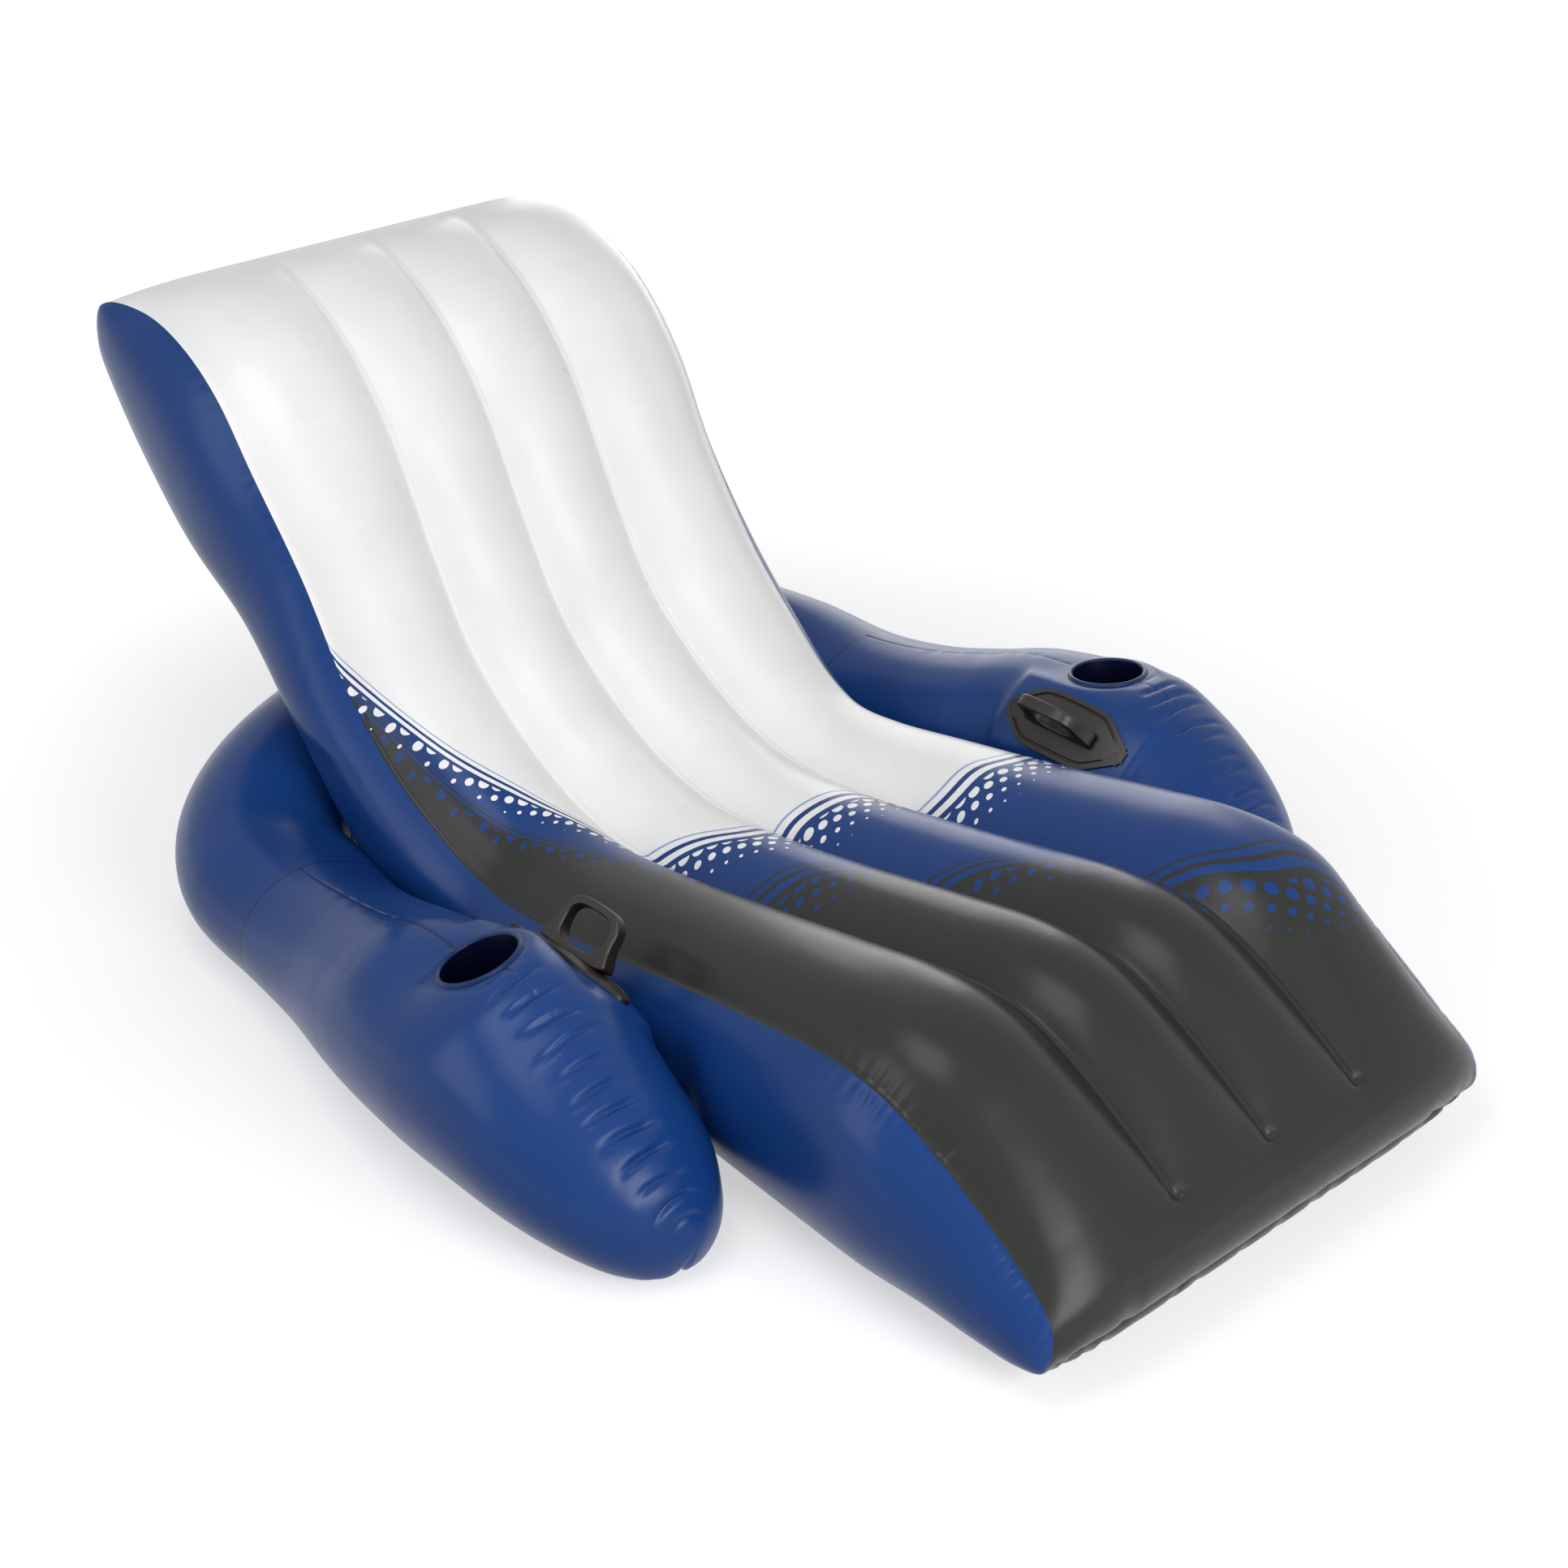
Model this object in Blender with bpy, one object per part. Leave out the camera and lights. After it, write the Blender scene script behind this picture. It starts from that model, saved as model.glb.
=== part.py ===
"""Inflatable pool chair: a reclined lounge of four air channels, cradled by a U-shaped air tube.

Metres, +Z up, floor at Z = 0. The foot end points to -Y and the head end to +Y. Left and right
are the sitter's own, so left is +X. Every panel is a vinyl sheet of its real thickness, and the
panels of one air chamber share one outer skin, which is mitred and parted along the weld seams.
"""
import math

import bmesh
import bpy
import numpy as np
from mathutils import Matrix, Vector

MM = 0.001

# Lounge: driving sizes
LOUNGE_LENGTH = 1.765
HEAD_HEIGHT = 0.740
LOUNGE_WIDTH = 0.724
WELD_SPACING = 0.150
TOP_CROWN = 0.036
EDGE_CROWN = 0.046
UNDER_CROWN = 0.032
GUSSET_CROWN = 0.050
WELD_RISE = 0.022
SIDE_BULGE = 0.016
PILLOW_RISE = 0.030

BACK_BULGE = 0.005

# Setback of the origin from the foot seam, half way between the foot and the back
ORIGIN_SETBACK = (LOUNGE_LENGTH + BACK_BULGE) / 2

# Arm and crescent tube: driving sizes
TUBE_LENGTH = 0.760
ARM_WIDTH = 0.284
ARM_HEIGHT = 0.281
ARM_LEAN = 0.012
CRESCENT_DEPTH = 0.290
CRESCENT_HEIGHT = 0.250
CRESCENT_WIDTH = 0.270
CRESCENT_BEHIND_BACK = 0.185

# Sheets and seams
VINYL = 0.4 * MM
FIT = 0.3 * MM
SEAM_INSET = 0.35 * MM
JOIN_SPACE = VINYL + 2 * FIT
JOIN_LENGTH = 0.200
JOIN_HEIGHT = 0.034
JOIN_BEHIND_NOSE = 0.350
REST_SPACE = 0.006
BACK_THICKNESS = 0.150

# Cup wells
CUP_WIDTH = 0.094
CUP_DEPTH = 0.095
CUP_LEAN = math.radians(8)
CUP_BEHIND_NOSE = 0.332
CUP_RIM = 0.007
CUP_TAPER = 0.005
CUP_HEIGHT = 0.262
CUP_FROM_LOUNGE = 0.141
CUP_REACH = 0.081
CUP_FADE = 0.030

# Grab handles
HANDLE_LENGTH = 0.190
HANDLE_WIDTH = 0.084
HANDLE_PLATE = 0.003
HANDLE_TILT = math.radians(46)
HANDLE_BEHIND_NOSE = 0.308
HANDLE_FROM_LOUNGE = 0.029
HANDLE_HEIGHT = 0.230
HANDLE_REACH = 0.102
HANDLE_FADE = 0.120
GRIP_LENGTH = 0.124
GRIP_HEIGHT = 0.066
GRIP_WIDTH = 0.020
GRIP_BAR = 0.012
GRIP_FLARE = 0.010

# Inflation valves
VALVE_FLANGE_RADIUS = 0.017
VALVE_FLANGE = 0.0012
VALVE_COLLAR_RADIUS = 0.0088
VALVE_COLLAR_DEPTH = 0.009
STEM_RADIUS = 0.0070
STEM_BORE_RADIUS = 0.0046
STEM_LENGTH = 0.019
STEM_LIP_RADIUS = 0.0105
STEM_LIP = 0.0016
PLUG_HEAD_RADIUS = 0.0098
PLUG_HEAD = 0.0022
PLUG_LENGTH = 0.013
PLUG_TAB = 0.012
PLUG_TAB_WIDTH = 0.007
VALVE_STATION = 14.6
CUT_OVERRUN = 0.010

# Outline of the lounge's side, as shares of its length and its head height
TOP_SEAM_SHARES = (
    (0.000, 0.076), (0.002, 0.142), (0.034, 0.203), (0.090, 0.288), (0.136, 0.347),
    (0.187, 0.354), (0.255, 0.328), (0.340, 0.288), (0.428, 0.249), (0.499, 0.218),
    (0.552, 0.214), (0.601, 0.257), (0.652, 0.338), (0.703, 0.453), (0.751, 0.615),
    (0.796, 0.777), (0.839, 0.892), (0.887, 0.957), (0.935, 0.984), (0.978, 0.976),
)
UNDER_SEAM_SHARES = (
    (0.000, 0.076), (0.020, 0.046), (0.054, 0.033), (0.096, 0.031), (0.147, 0.031),
    (0.201, 0.031), (0.263, 0.031), (0.346, 0.031), (0.433, 0.031), (0.516, 0.031),
    (0.595, 0.033), (0.660, 0.088), (0.711, 0.189), (0.768, 0.335), (0.827, 0.459),
    (0.890, 0.574), (0.946, 0.696), (0.985, 0.804), (0.999, 0.880), (0.978, 0.976),
)
LAST_STATION = len(TOP_SEAM_SHARES) - 1
LOUNGE_ROWS = 28
CHANNEL_STEPS = 4
GUSSET_STEPS = 6
WELD_START = 1.5
WELD_END = 18.2
WELD_FADE = 0.8
END_SWELL = 1.8
GUSSET_SHARE = 0.33
WELD_RISE_SHARES = (0, 0.3, 0.9, 1.0, 0.6, 0.4, 0.2, 0.1, 0.1, 0.5, 1.0, 0.8, 0.4, 0.1, 0.3, 0.7,
                    0.5, 0.4, 0.5, 0)
WIDTH_SHARES = (1.0, 0.975, 0.962, 0.970, 0.990, 0.982, 0.966, 0.944, 0.935, 0.920, 0.905, 0.915,
                0.935, 0.940, 0.935, 0.962, 0.958, 0.950, 0.955, 1.0)

# Arm tube: place along it, half width, top, underside, and the nose's step outwards
ARM_SHARES = (
    (0.000, 0.00, 0.180, 0.180, 0.76), (0.017, 0.34, 0.360, 0.020, 0.49),
    (0.053, 0.57, 0.500, -0.035, 0.32), (0.105, 0.75, 0.630, -0.045, 0.18),
    (0.178, 0.88, 0.765, -0.045, 0.09), (0.257, 0.96, 0.880, -0.045, 0.03),
    (0.349, 1.00, 0.970, -0.045, 0.00), (0.454, 1.00, 0.970, -0.045, 0.00),
    (0.599, 0.95, 0.880, -0.045, 0.00), (0.717, 0.88, 0.770, -0.045, 0.00),
    (0.849, 0.79, 0.670, -0.045, 0.00), (1.000, 0.73, 0.610, -0.045, 0.00),
)
ARM_PLACES = (0, 0.7, 1.4, 2.2, 3.0, 3.8, 4.6, 5.2, 5.85, 6.4, 6.95, 7.5, 8.2, 9, 10, 11)
ARM_ROWS = len(ARM_PLACES) - 1
CRESCENT_ROWS = 12
CRESCENT_SQUARENESS = 3.0
AROUND = 16
CUP_STEPS = (3, 4, 5)
HANDLE_STEPS = (5, 6, 7)
PRESSED_SHARE = math.cos(math.pi / 8)

# Where the lounge's sides and the tube touch, and how far out the cups and handles sit
HALF_WIDTH = LOUNGE_WIDTH / 2
CONTACT = HALF_WIDTH + SIDE_BULGE
TUBE_CONTACT = CONTACT + JOIN_SPACE
CUP_CENTRE = CONTACT + CUP_FROM_LOUNGE
HANDLE_CENTRE = CONTACT + HANDLE_FROM_LOUNGE

# Setbacks of the tube and what sits on it, from where the lounge's back leaves the floor
LOW_BACK_STATION = 12
LOW_BACK_SETBACK = UNDER_SEAM_SHARES[LOW_BACK_STATION][0] * LOUNGE_LENGTH
NOSE_SETBACK = LOW_BACK_SETBACK + CRESCENT_BEHIND_BACK - CRESCENT_DEPTH - TUBE_LENGTH
CUP_SETBACK = NOSE_SETBACK + CUP_BEHIND_NOSE
HANDLE_SETBACK = NOSE_SETBACK + HANDLE_BEHIND_NOSE
JOIN_SETBACK = NOSE_SETBACK + JOIN_BEHIND_NOSE


def smooth(rows, place):
    """Point of a smooth curve through rows of numbers, at a place counted in rows."""
    rows = np.asarray(rows, float)
    last = len(rows) - 1
    low = min(max(int(place), 0), last - 1)
    part = place - low
    before, start = rows[max(low - 1, 0)], rows[low]
    end, after = rows[low + 1], rows[min(low + 2, last)]
    leave, arrive = (end - before) / 2, (after - start) / 2
    return ((2 * part**3 - 3 * part**2 + 1) * start + (part**3 - 2 * part**2 + part) * leave
            + (3 * part**2 - 2 * part**3) * end + (part**3 - part**2) * arrive)


def eased(value):
    """A smooth step from 0 to 1."""
    value = min(max(value, 0.0), 1.0)
    return value * value * (3 - 2 * value)


class Skin:
    """Outer surface of one air chamber: shared points, and faces kept by panel."""

    def __init__(self):
        self.points = []
        self.places = {}
        self.panels = {}

    def point(self, key, place):
        if key not in self.places:
            self.places[key] = len(self.points)
            self.points.append(np.asarray(place, float))
        return self.places[key]

    def face(self, panel, corners):
        ring = [corner for i, corner in enumerate(corners) if corner != corners[i - 1]]
        faces = self.panels.setdefault(panel, [])
        if len(ring) == 3:
            faces.append(ring)
        if len(ring) == 4:
            a, b, c, d = [self.points[i] for i in ring]
            if np.linalg.norm(a - c) < np.linalg.norm(b - d) + FIT:
                faces += [[ring[0], ring[1], ring[2]], [ring[0], ring[2], ring[3]]]
            else:
                faces += [[ring[0], ring[1], ring[3]], [ring[1], ring[2], ring[3]]]

    def mean_normals(self):
        """Normal sum that keeps the sheet's thickness on both sides of a seam."""
        normals = np.zeros((len(self.points), 3))
        counts = np.zeros(len(self.points))
        for faces in self.panels.values():
            for ring in faces:
                normal = face_normal([self.points[i] for i in ring])
                for i in ring:
                    normals[i] += normal
                    counts[i] += 1
        normals /= counts[:, None]
        squares = np.maximum((normals**2).sum(axis=1), 0.16)
        return normals / squares[:, None]


def face_normal(corners):
    """Unit normal of a face whose corners may lie a little out of plane."""
    total = np.zeros(3)
    for i, corner in enumerate(corners):
        total += np.cross(corners[i - 1], corner)
    return total / max(np.linalg.norm(total), 1e-12)


def sheet_from(skin, panel, normals):
    """Closed vinyl sheet under one panel of a skin, parted from its neighbours at the seams."""
    faces = skin.panels[panel]
    edges = {}
    for ring in faces:
        for i, corner in enumerate(ring):
            pair = (ring[i - 1], corner)
            edges[pair] = edges.get(pair, 0) + 1
    rim = [pair for pair in edges if (pair[1], pair[0]) not in edges]
    on_rim = {i for pair in rim for i in pair}
    used = sorted({i for ring in faces for i in ring})
    order = {i: place for place, i in enumerate(used)}
    outer = np.array([skin.points[i] for i in used])
    moved = outer.copy()
    for i in on_rim:
        near = [ring for ring in faces if i in ring]
        inside = np.mean([skin.points[j] for ring in near for j in ring], axis=0)
        along = inside - skin.points[i]
        reach = SEAM_INSET * (1.5 if len(near) > 1 else 3)
        moved[order[i]] += along / np.linalg.norm(along) * reach
    inner = moved - VINYL * normals[used]
    count = len(used)
    polygons = [[order[i] for i in ring] for ring in faces]
    polygons += [[order[i] + count for i in reversed(ring)] for ring in faces]
    polygons += [[order[a], order[a] + count, order[b] + count, order[b]] for a, b in rim]
    return np.vstack([moved, inner]), polygons


def lounge_columns(station):
    """Columns across one lounge sheet: X, channel number and place in the channel (-1 to 1)."""
    half = half_width(station)
    welds = [-half, -WELD_SPACING, 0.0, WELD_SPACING, half]
    columns = []
    for channel in range(len(welds) - 1):
        for step in range(CHANNEL_STEPS):
            share = step / CHANNEL_STEPS
            x = welds[channel] + (welds[channel + 1] - welds[channel]) * share
            columns.append((x, channel, 2 * share - 1))
    columns.append((half, len(welds) - 2, 1.0))
    return columns


def half_width(station):
    """Half the lounge's width between its seams at one station."""
    return HALF_WIDTH * float(smooth(WIDTH_SHARES, station))


def seam_point(shares, station):
    """Point (Y, Z) of a side seam."""
    y, z = smooth(shares, station)
    return np.array([y * LOUNGE_LENGTH, z * HEAD_HEIGHT])


def seam_normal(shares, station, side):
    """Unit normal (Y, Z) of a side seam, out of the lounge."""
    step = 0.05
    low, high = max(station - step, 0), min(station + step, LAST_STATION)
    run = seam_point(shares, high) - seam_point(shares, low)
    run /= np.linalg.norm(run)
    return side * np.array([-run[1], run[0]])


def end_swell(station):
    """How far the lounge has swelled at a station, from 0 at both end seams to 1."""
    near = min(station, LAST_STATION - station)
    return math.sqrt(eased(near / END_SWELL))


def held(station):
    """1 where the weld lines hold the sheets together, 0 beyond their ends."""
    return eased((station - WELD_START) / WELD_FADE) * eased((WELD_END - station) / WELD_FADE)


def weld_edges(channel, weld):
    """Heights of the two edges of a channel over the side seams."""
    heights = (0.0, weld, weld, weld, 0.0)
    return heights[channel], heights[channel + 1]


def sheet_rise(column, station, crown, edge_crown, weld):
    """How far a lounge sheet stands out from the line between its side seams."""
    x, channel, place = column
    first, second = weld_edges(channel, weld)
    base = first + (second - first) * (place + 1) / 2
    is_edge = channel in (0, 3)
    welded = base + (edge_crown if is_edge else crown) * (1 - place * place)
    free = PILLOW_RISE * (1 - (x / half_width(station))**4)
    share = held(station)
    return (share * welded + (1 - share) * free) * end_swell(station)


def top_point(column, station):
    """Point of the top sheet."""
    weld = WELD_RISE * float(smooth(WELD_RISE_SHARES, station))
    rise = sheet_rise(column, station, TOP_CROWN, EDGE_CROWN, weld)
    y, z = seam_point(TOP_SEAM_SHARES, station) + rise * seam_normal(TOP_SEAM_SHARES, station, 1)
    return (column[0], y, z)


def under_point(column, station):
    """Point of the under sheet, which lies flat where it rests on the floor."""
    rise = sheet_rise(column, station, UNDER_CROWN, UNDER_CROWN, 0.0)
    y, z = (seam_point(UNDER_SEAM_SHARES, station)
            + rise * seam_normal(UNDER_SEAM_SHARES, station, -1))
    return (column[0], y, max(z, 0.0))


def gusset_point(side, share, station):
    """Point of a side panel, from its top seam (0) to its under seam (1)."""
    top = seam_point(TOP_SEAM_SHARES, station)
    under = seam_point(UNDER_SEAM_SHARES, station)
    y, z = top + (under - top) * share
    thickness = np.linalg.norm(top - under)
    crown = min(GUSSET_SHARE * thickness, GUSSET_CROWN) * (1 - (2 * share - 1)**2)
    x = half_width(station) + crown
    if NOSE_SETBACK < y < NOSE_SETBACK + TUBE_LENGTH + CRESCENT_DEPTH:
        x = min(x, CONTACT)
    return (side * x, y, z)


def lounge_skin():
    """Outer skin of the lounge chamber."""
    skin = Skin()
    width = len(lounge_columns(0))
    rows = []
    for row in range(LOUNGE_ROWS + 1):
        station = LAST_STATION * row / LOUNGE_ROWS
        closed = row in (0, LOUNGE_ROWS)
        columns = lounge_columns(station)
        loop = []
        for i, column in enumerate(columns):
            loop.append(("top", skin.point((row, "top", i), top_point(column, station))))
        for step in range(1, GUSSET_STEPS):
            key = (row, "top", width - 1) if closed else (row, "left", step)
            place = gusset_point(1, step / GUSSET_STEPS, station)
            loop.append(("left", skin.point(key, place)))
        for i in range(width - 1, -1, -1):
            key = (row, "top", i) if closed else (row, "under", i)
            loop.append(("under", skin.point(key, under_point(columns[i], station))))
        for step in range(GUSSET_STEPS - 1, 0, -1):
            key = (row, "top", 0) if closed else (row, "right", step)
            place = gusset_point(-1, step / GUSSET_STEPS, station)
            loop.append(("right", skin.point(key, place)))
        rows.append(loop)
    starts = {"top": width - 1, "left": GUSSET_STEPS, "under": width - 1, "right": GUSSET_STEPS}
    labels = [name for name, count in starts.items() for _ in range(count)]
    join_rows(skin, [[index for _, index in loop] for loop in rows], labels)
    return skin


def join_rows(skin, rows, labels, panel_of_row=None):
    """Faces between neighbouring loops of points, each in the panel that its place names."""
    count = len(labels)
    for row in range(len(rows) - 1):
        for i, label in enumerate(labels):
            j = (i + 1) % count
            panel = panel_of_row(row, label) if panel_of_row else label
            skin.face(panel, [rows[row][i], rows[row][j], rows[row + 1][j], rows[row + 1][i]])


def arm_section(place):
    """Centre (X, Y), outward direction, half width, top and underside of an arm, at one row."""
    along, half, top, under, step = smooth(ARM_SHARES, place)
    half = max(half, 0.0) * ARM_WIDTH / 2
    centre_x = TUBE_CONTACT + half * PRESSED_SHARE + step * ARM_WIDTH / 2
    centre_y = NOSE_SETBACK + along * TUBE_LENGTH
    return (np.array([centre_x, centre_y]), np.array([1.0, 0.0]), half,
            top * ARM_HEIGHT, under * ARM_HEIGHT)


def cup_plane(side):
    """Point and normal of the flat round a cup well."""
    return (np.array([side * CUP_CENTRE, CUP_SETBACK, CUP_HEIGHT]),
            np.array([0.0, math.sin(CUP_LEAN), math.cos(CUP_LEAN)]))


def handle_plane(side):
    """Point and normal of the flat under a grab handle, on the arm's inner top side."""
    return (np.array([side * HANDLE_CENTRE, HANDLE_SETBACK, HANDLE_HEIGHT]),
            np.array([-side * math.cos(HANDLE_TILT), 0.0, math.sin(HANDLE_TILT)]))


def on_flat(point, plane, reach, fade):
    """The point, moved onto a flat within a reach along the arm, and less and less beyond."""
    origin, normal = plane
    beyond = abs(point[1] - origin[1]) - reach
    share = eased(1 - beyond / fade)
    return point - share * np.dot(point - origin, normal) * normal


def on_both(point, first, second):
    """The point, moved level with its section onto the crease between two flats."""
    (origin_a, normal_a), (origin_b, normal_b) = first, second
    rows = np.array([normal_a, normal_b, [0.0, 1.0, 0.0]])
    sums = [np.dot(origin_a, normal_a), np.dot(origin_b, normal_b), point[1]]
    return np.linalg.solve(rows, sums)


def crescent_section(share):
    """The same for the left half of the crescent, from its arm (0) to its middle (1)."""
    centre, _, half, top, under = arm_section(len(ARM_SHARES) - 1)
    turn = share * math.pi / 2
    power = 2 / CRESCENT_SQUARENESS
    x_share, y_share = abs(math.cos(turn))**power, math.sin(turn)**power
    place = np.array([centre[0] * x_share, centre[1] + CRESCENT_DEPTH * y_share])
    out = np.array([x_share**(CRESCENT_SQUARENESS - 1) / centre[0],
                    y_share**(CRESCENT_SQUARENESS - 1) / CRESCENT_DEPTH])
    grown = eased(share)
    half += (CRESCENT_WIDTH / 2 - half) * grown
    top += (CRESCENT_HEIGHT - top) * grown
    return place, out / np.linalg.norm(out), half, top, under


def tube_sections():
    """Sections of the whole U, from the right arm's nose round the back to the left's."""
    arm = [arm_section(place) for place in ARM_PLACES]
    half_rows = CRESCENT_ROWS // 2
    bend = [crescent_section(row / half_rows) for row in range(1, half_rows + 1)]
    left = arm + bend
    flip = np.array([-1.0, 1.0])
    right = [(centre * flip, out * flip, half, top, under)
             for centre, out, half, top, under in left[:-1]]
    return right + left[::-1]


def back_outline():
    """Under seam at the lounge's rows, as points (Y, Z)."""
    return [seam_point(UNDER_SEAM_SHARES, LAST_STATION * row / LOUNGE_ROWS)
            for row in range(LOUNGE_ROWS + 1)]


def clear_of_lounge(point):
    """The crescent's point, pushed out of the lounge where it would enter it."""
    x, spot = abs(point[0]), point[1:]
    half = HALF_WIDTH * WIDTH_SHARES[LOW_BACK_STATION]
    if x >= CONTACT:
        return point
    outline = back_outline()
    gaps = []
    for start, end in zip(outline, outline[1:]):
        run = (end - start) / np.linalg.norm(end - start)
        share = np.clip(np.dot(spot - start, run) / np.linalg.norm(end - start), 0, 1)
        nearest = start + share * (end - start)
        normal = np.array([run[1], -run[0]])
        gaps.append((np.linalg.norm(spot - nearest), np.dot(spot - start, normal), normal))
    _, gap, normal = min(gaps, key=lambda item: item[0])
    if x < half:
        need = REST_SPACE + UNDER_CROWN * min(1.0, 4 * (half - x) / half)
    else:
        side_share = math.sqrt(max(1 - (x - half) / GUSSET_CROWN, 0.0))
        need = REST_SPACE - BACK_THICKNESS / 2 * (1 - side_share)
    if gap < need:
        spot = spot + (need - gap) * normal
    return np.array([point[0], spot[0], max(spot[1], 0.0)])


def tube_point(section, step):
    """Point of the tube's skin, flat on the floor and where it leans on the lounge."""
    centre, out, half, top, under = section
    turn = 2 * math.pi * step / AROUND
    middle, reach = (top + under) / 2, (top - under) / 2
    lean = ARM_LEAN * 2 * half / ARM_WIDTH
    x, y = centre + out * (half * math.cos(turn) + lean * math.sin(turn))
    point = np.array([x, y, max(middle + reach * math.sin(turn), 0.0)])
    if centre[1] > NOSE_SETBACK + TUBE_LENGTH + FIT:
        return clear_of_lounge(point)
    side = math.copysign(1, centre[0])
    point[0] = side * max(abs(x), TUBE_CONTACT)
    by_handle = abs(centre[1] - HANDLE_SETBACK) < HANDLE_REACH
    by_cup = abs(centre[1] - CUP_SETBACK) < CUP_REACH
    wall = np.array([side * TUBE_CONTACT, 0.0, 0.0]), np.array([side, 0.0, 0.0])
    if step == HANDLE_STEPS[-1] and by_handle:
        return on_both(point, handle_plane(side), wall)
    if step == HANDLE_STEPS[0] and by_cup:
        return on_both(point, handle_plane(side), cup_plane(side))
    if step in HANDLE_STEPS:
        point = on_flat(point, handle_plane(side), HANDLE_REACH, HANDLE_FADE)
        point[0] = side * max(abs(point[0]), TUBE_CONTACT)
    elif step in CUP_STEPS:
        point = on_flat(point, cup_plane(side), CUP_REACH, CUP_FADE)
    return point


def tube_skin():
    """Outer skin of the arm and crescent chamber."""
    skin = Skin()
    sections = tube_sections()
    last = len(sections) - 1
    rows = []
    for row, section in enumerate(sections):
        loop = []
        for step in range(AROUND):
            key = (row, 0) if row in (0, last) else (row, step)
            loop.append(skin.point(key, tube_point(section, step)))
        rows.append(loop)
    quarters = ["outer_upper", "inner_upper", "inner_lower", "outer_lower"]
    labels = [name for name in quarters for _ in range(AROUND // 4)]
    join_rows(skin, rows, labels, tube_panel)
    return skin


def tube_panel(row, label):
    """Panel of the tube that a quarter belongs to: arms part upright, the crescent level."""
    across, level = label.split("_")
    if row < ARM_ROWS:
        return "arm_" + across + "_right"
    if row >= ARM_ROWS + CRESCENT_ROWS:
        return "arm_" + across + "_left"
    return "crescent_" + level + "_panel"


def new_object(name, points, polygons, colour, roughness=0.35, place=None):
    """Mesh object from points and polygons in its own frame, with its own material."""
    mesh = bpy.data.meshes.new(name)
    mesh.from_pydata([tuple(map(float, point)) for point in points], [], polygons)
    work = bmesh.new()
    work.from_mesh(mesh)
    bmesh.ops.recalc_face_normals(work, faces=work.faces)
    work.to_mesh(mesh)
    work.free()
    item = bpy.data.objects.new(name, mesh)
    bpy.context.scene.collection.objects.link(item)
    item.matrix_world = Matrix.Translation((0, -ORIGIN_SETBACK, 0)) @ (place or Matrix())
    mesh.materials.append(plain_material(name, colour, roughness))
    mesh.shade_smooth()
    mesh.set_sharp_from_angle(angle=SHARP_ANGLE)
    return item


def plain_material(name, colour, roughness):
    """Plain material of one sub-part."""
    material = bpy.data.materials.new(name)
    material.use_nodes = True
    shader = material.node_tree.nodes["Principled BSDF"]
    shader.inputs["Base Color"].default_value = (*colour, 1.0)
    shader.inputs["Roughness"].default_value = roughness
    return material


def frame_at(origin, normal, along):
    """Placement whose Z is the normal and whose X runs along a direction."""
    z = Vector(normal).normalized()
    y = z.cross(Vector(along)).normalized()
    x = y.cross(z)
    turn = Matrix((x, y, z)).transposed().to_4x4()
    return Matrix.Translation(Vector(origin)) @ turn


def turned(profile, segments):
    """Points and polygons of a closed outline (radius, height) turned about Z."""
    points, polygons, rings = [], [], []
    for radius, height in profile:
        if radius == 0:
            rings.append([len(points)] * segments)
            points.append((0.0, 0.0, height))
            continue
        rings.append(list(range(len(points), len(points) + segments)))
        for i in range(segments):
            angle = 2 * math.pi * i / segments
            points.append((radius * math.cos(angle), radius * math.sin(angle), height))
    for k, ring in enumerate(rings):
        before = rings[k - 1]
        if profile[k][0] == 0 and profile[k - 1][0] == 0:
            continue
        for i in range(segments):
            j = (i + 1) % segments
            corners = [before[i], before[j], ring[j], ring[i]]
            polygon = [c for n, c in enumerate(corners) if c != corners[n - 1]]
            polygons.append(polygon)
    return points, polygons


def cutter(name, radius, depth, place):
    """Round cutter, left out of the build, centred on its placement."""
    profile = [(0, -depth), (radius, -depth), (radius, depth), (0, depth)]
    item = new_object(name, *turned(profile, HOLE_SIDES), RED, place=place)
    item.hide_render = True
    item.display_type = "WIRE"
    return item


def cut(item, tool):
    """Boolean cut that stays on the object."""
    modifier = item.modifiers.new("cut", "BOOLEAN")
    modifier.object = tool
    modifier.operation = "DIFFERENCE"
    modifier.solver = "EXACT"


WHITE = (0.86, 0.86, 0.86)
BLUE = (0.015, 0.040, 0.210)
DARK_BLUE = (0.008, 0.018, 0.080)
BLACK = (0.012, 0.012, 0.013)
CLEAR_GREY = (0.45, 0.47, 0.50)
RED = (0.8, 0.1, 0.1)
SHARP_ANGLE = math.radians(35)
HOLE_SIDES = 32
VALVE_SIDES = 24
SIDES = {"left": 1, "right": -1}


def build_lounge(lounge):
    """The four sheets of the lounge."""
    normals = lounge.mean_normals()
    names = {"top": ("lounge_top_panel", WHITE), "under": ("lounge_under_panel", BLUE),
             "left": ("gusset_left", BLUE), "right": ("gusset_right", BLUE)}
    items = {}
    for panel, (name, colour) in names.items():
        items[name] = new_object(name, *sheet_from(lounge, panel, normals), colour)
    return items


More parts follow.
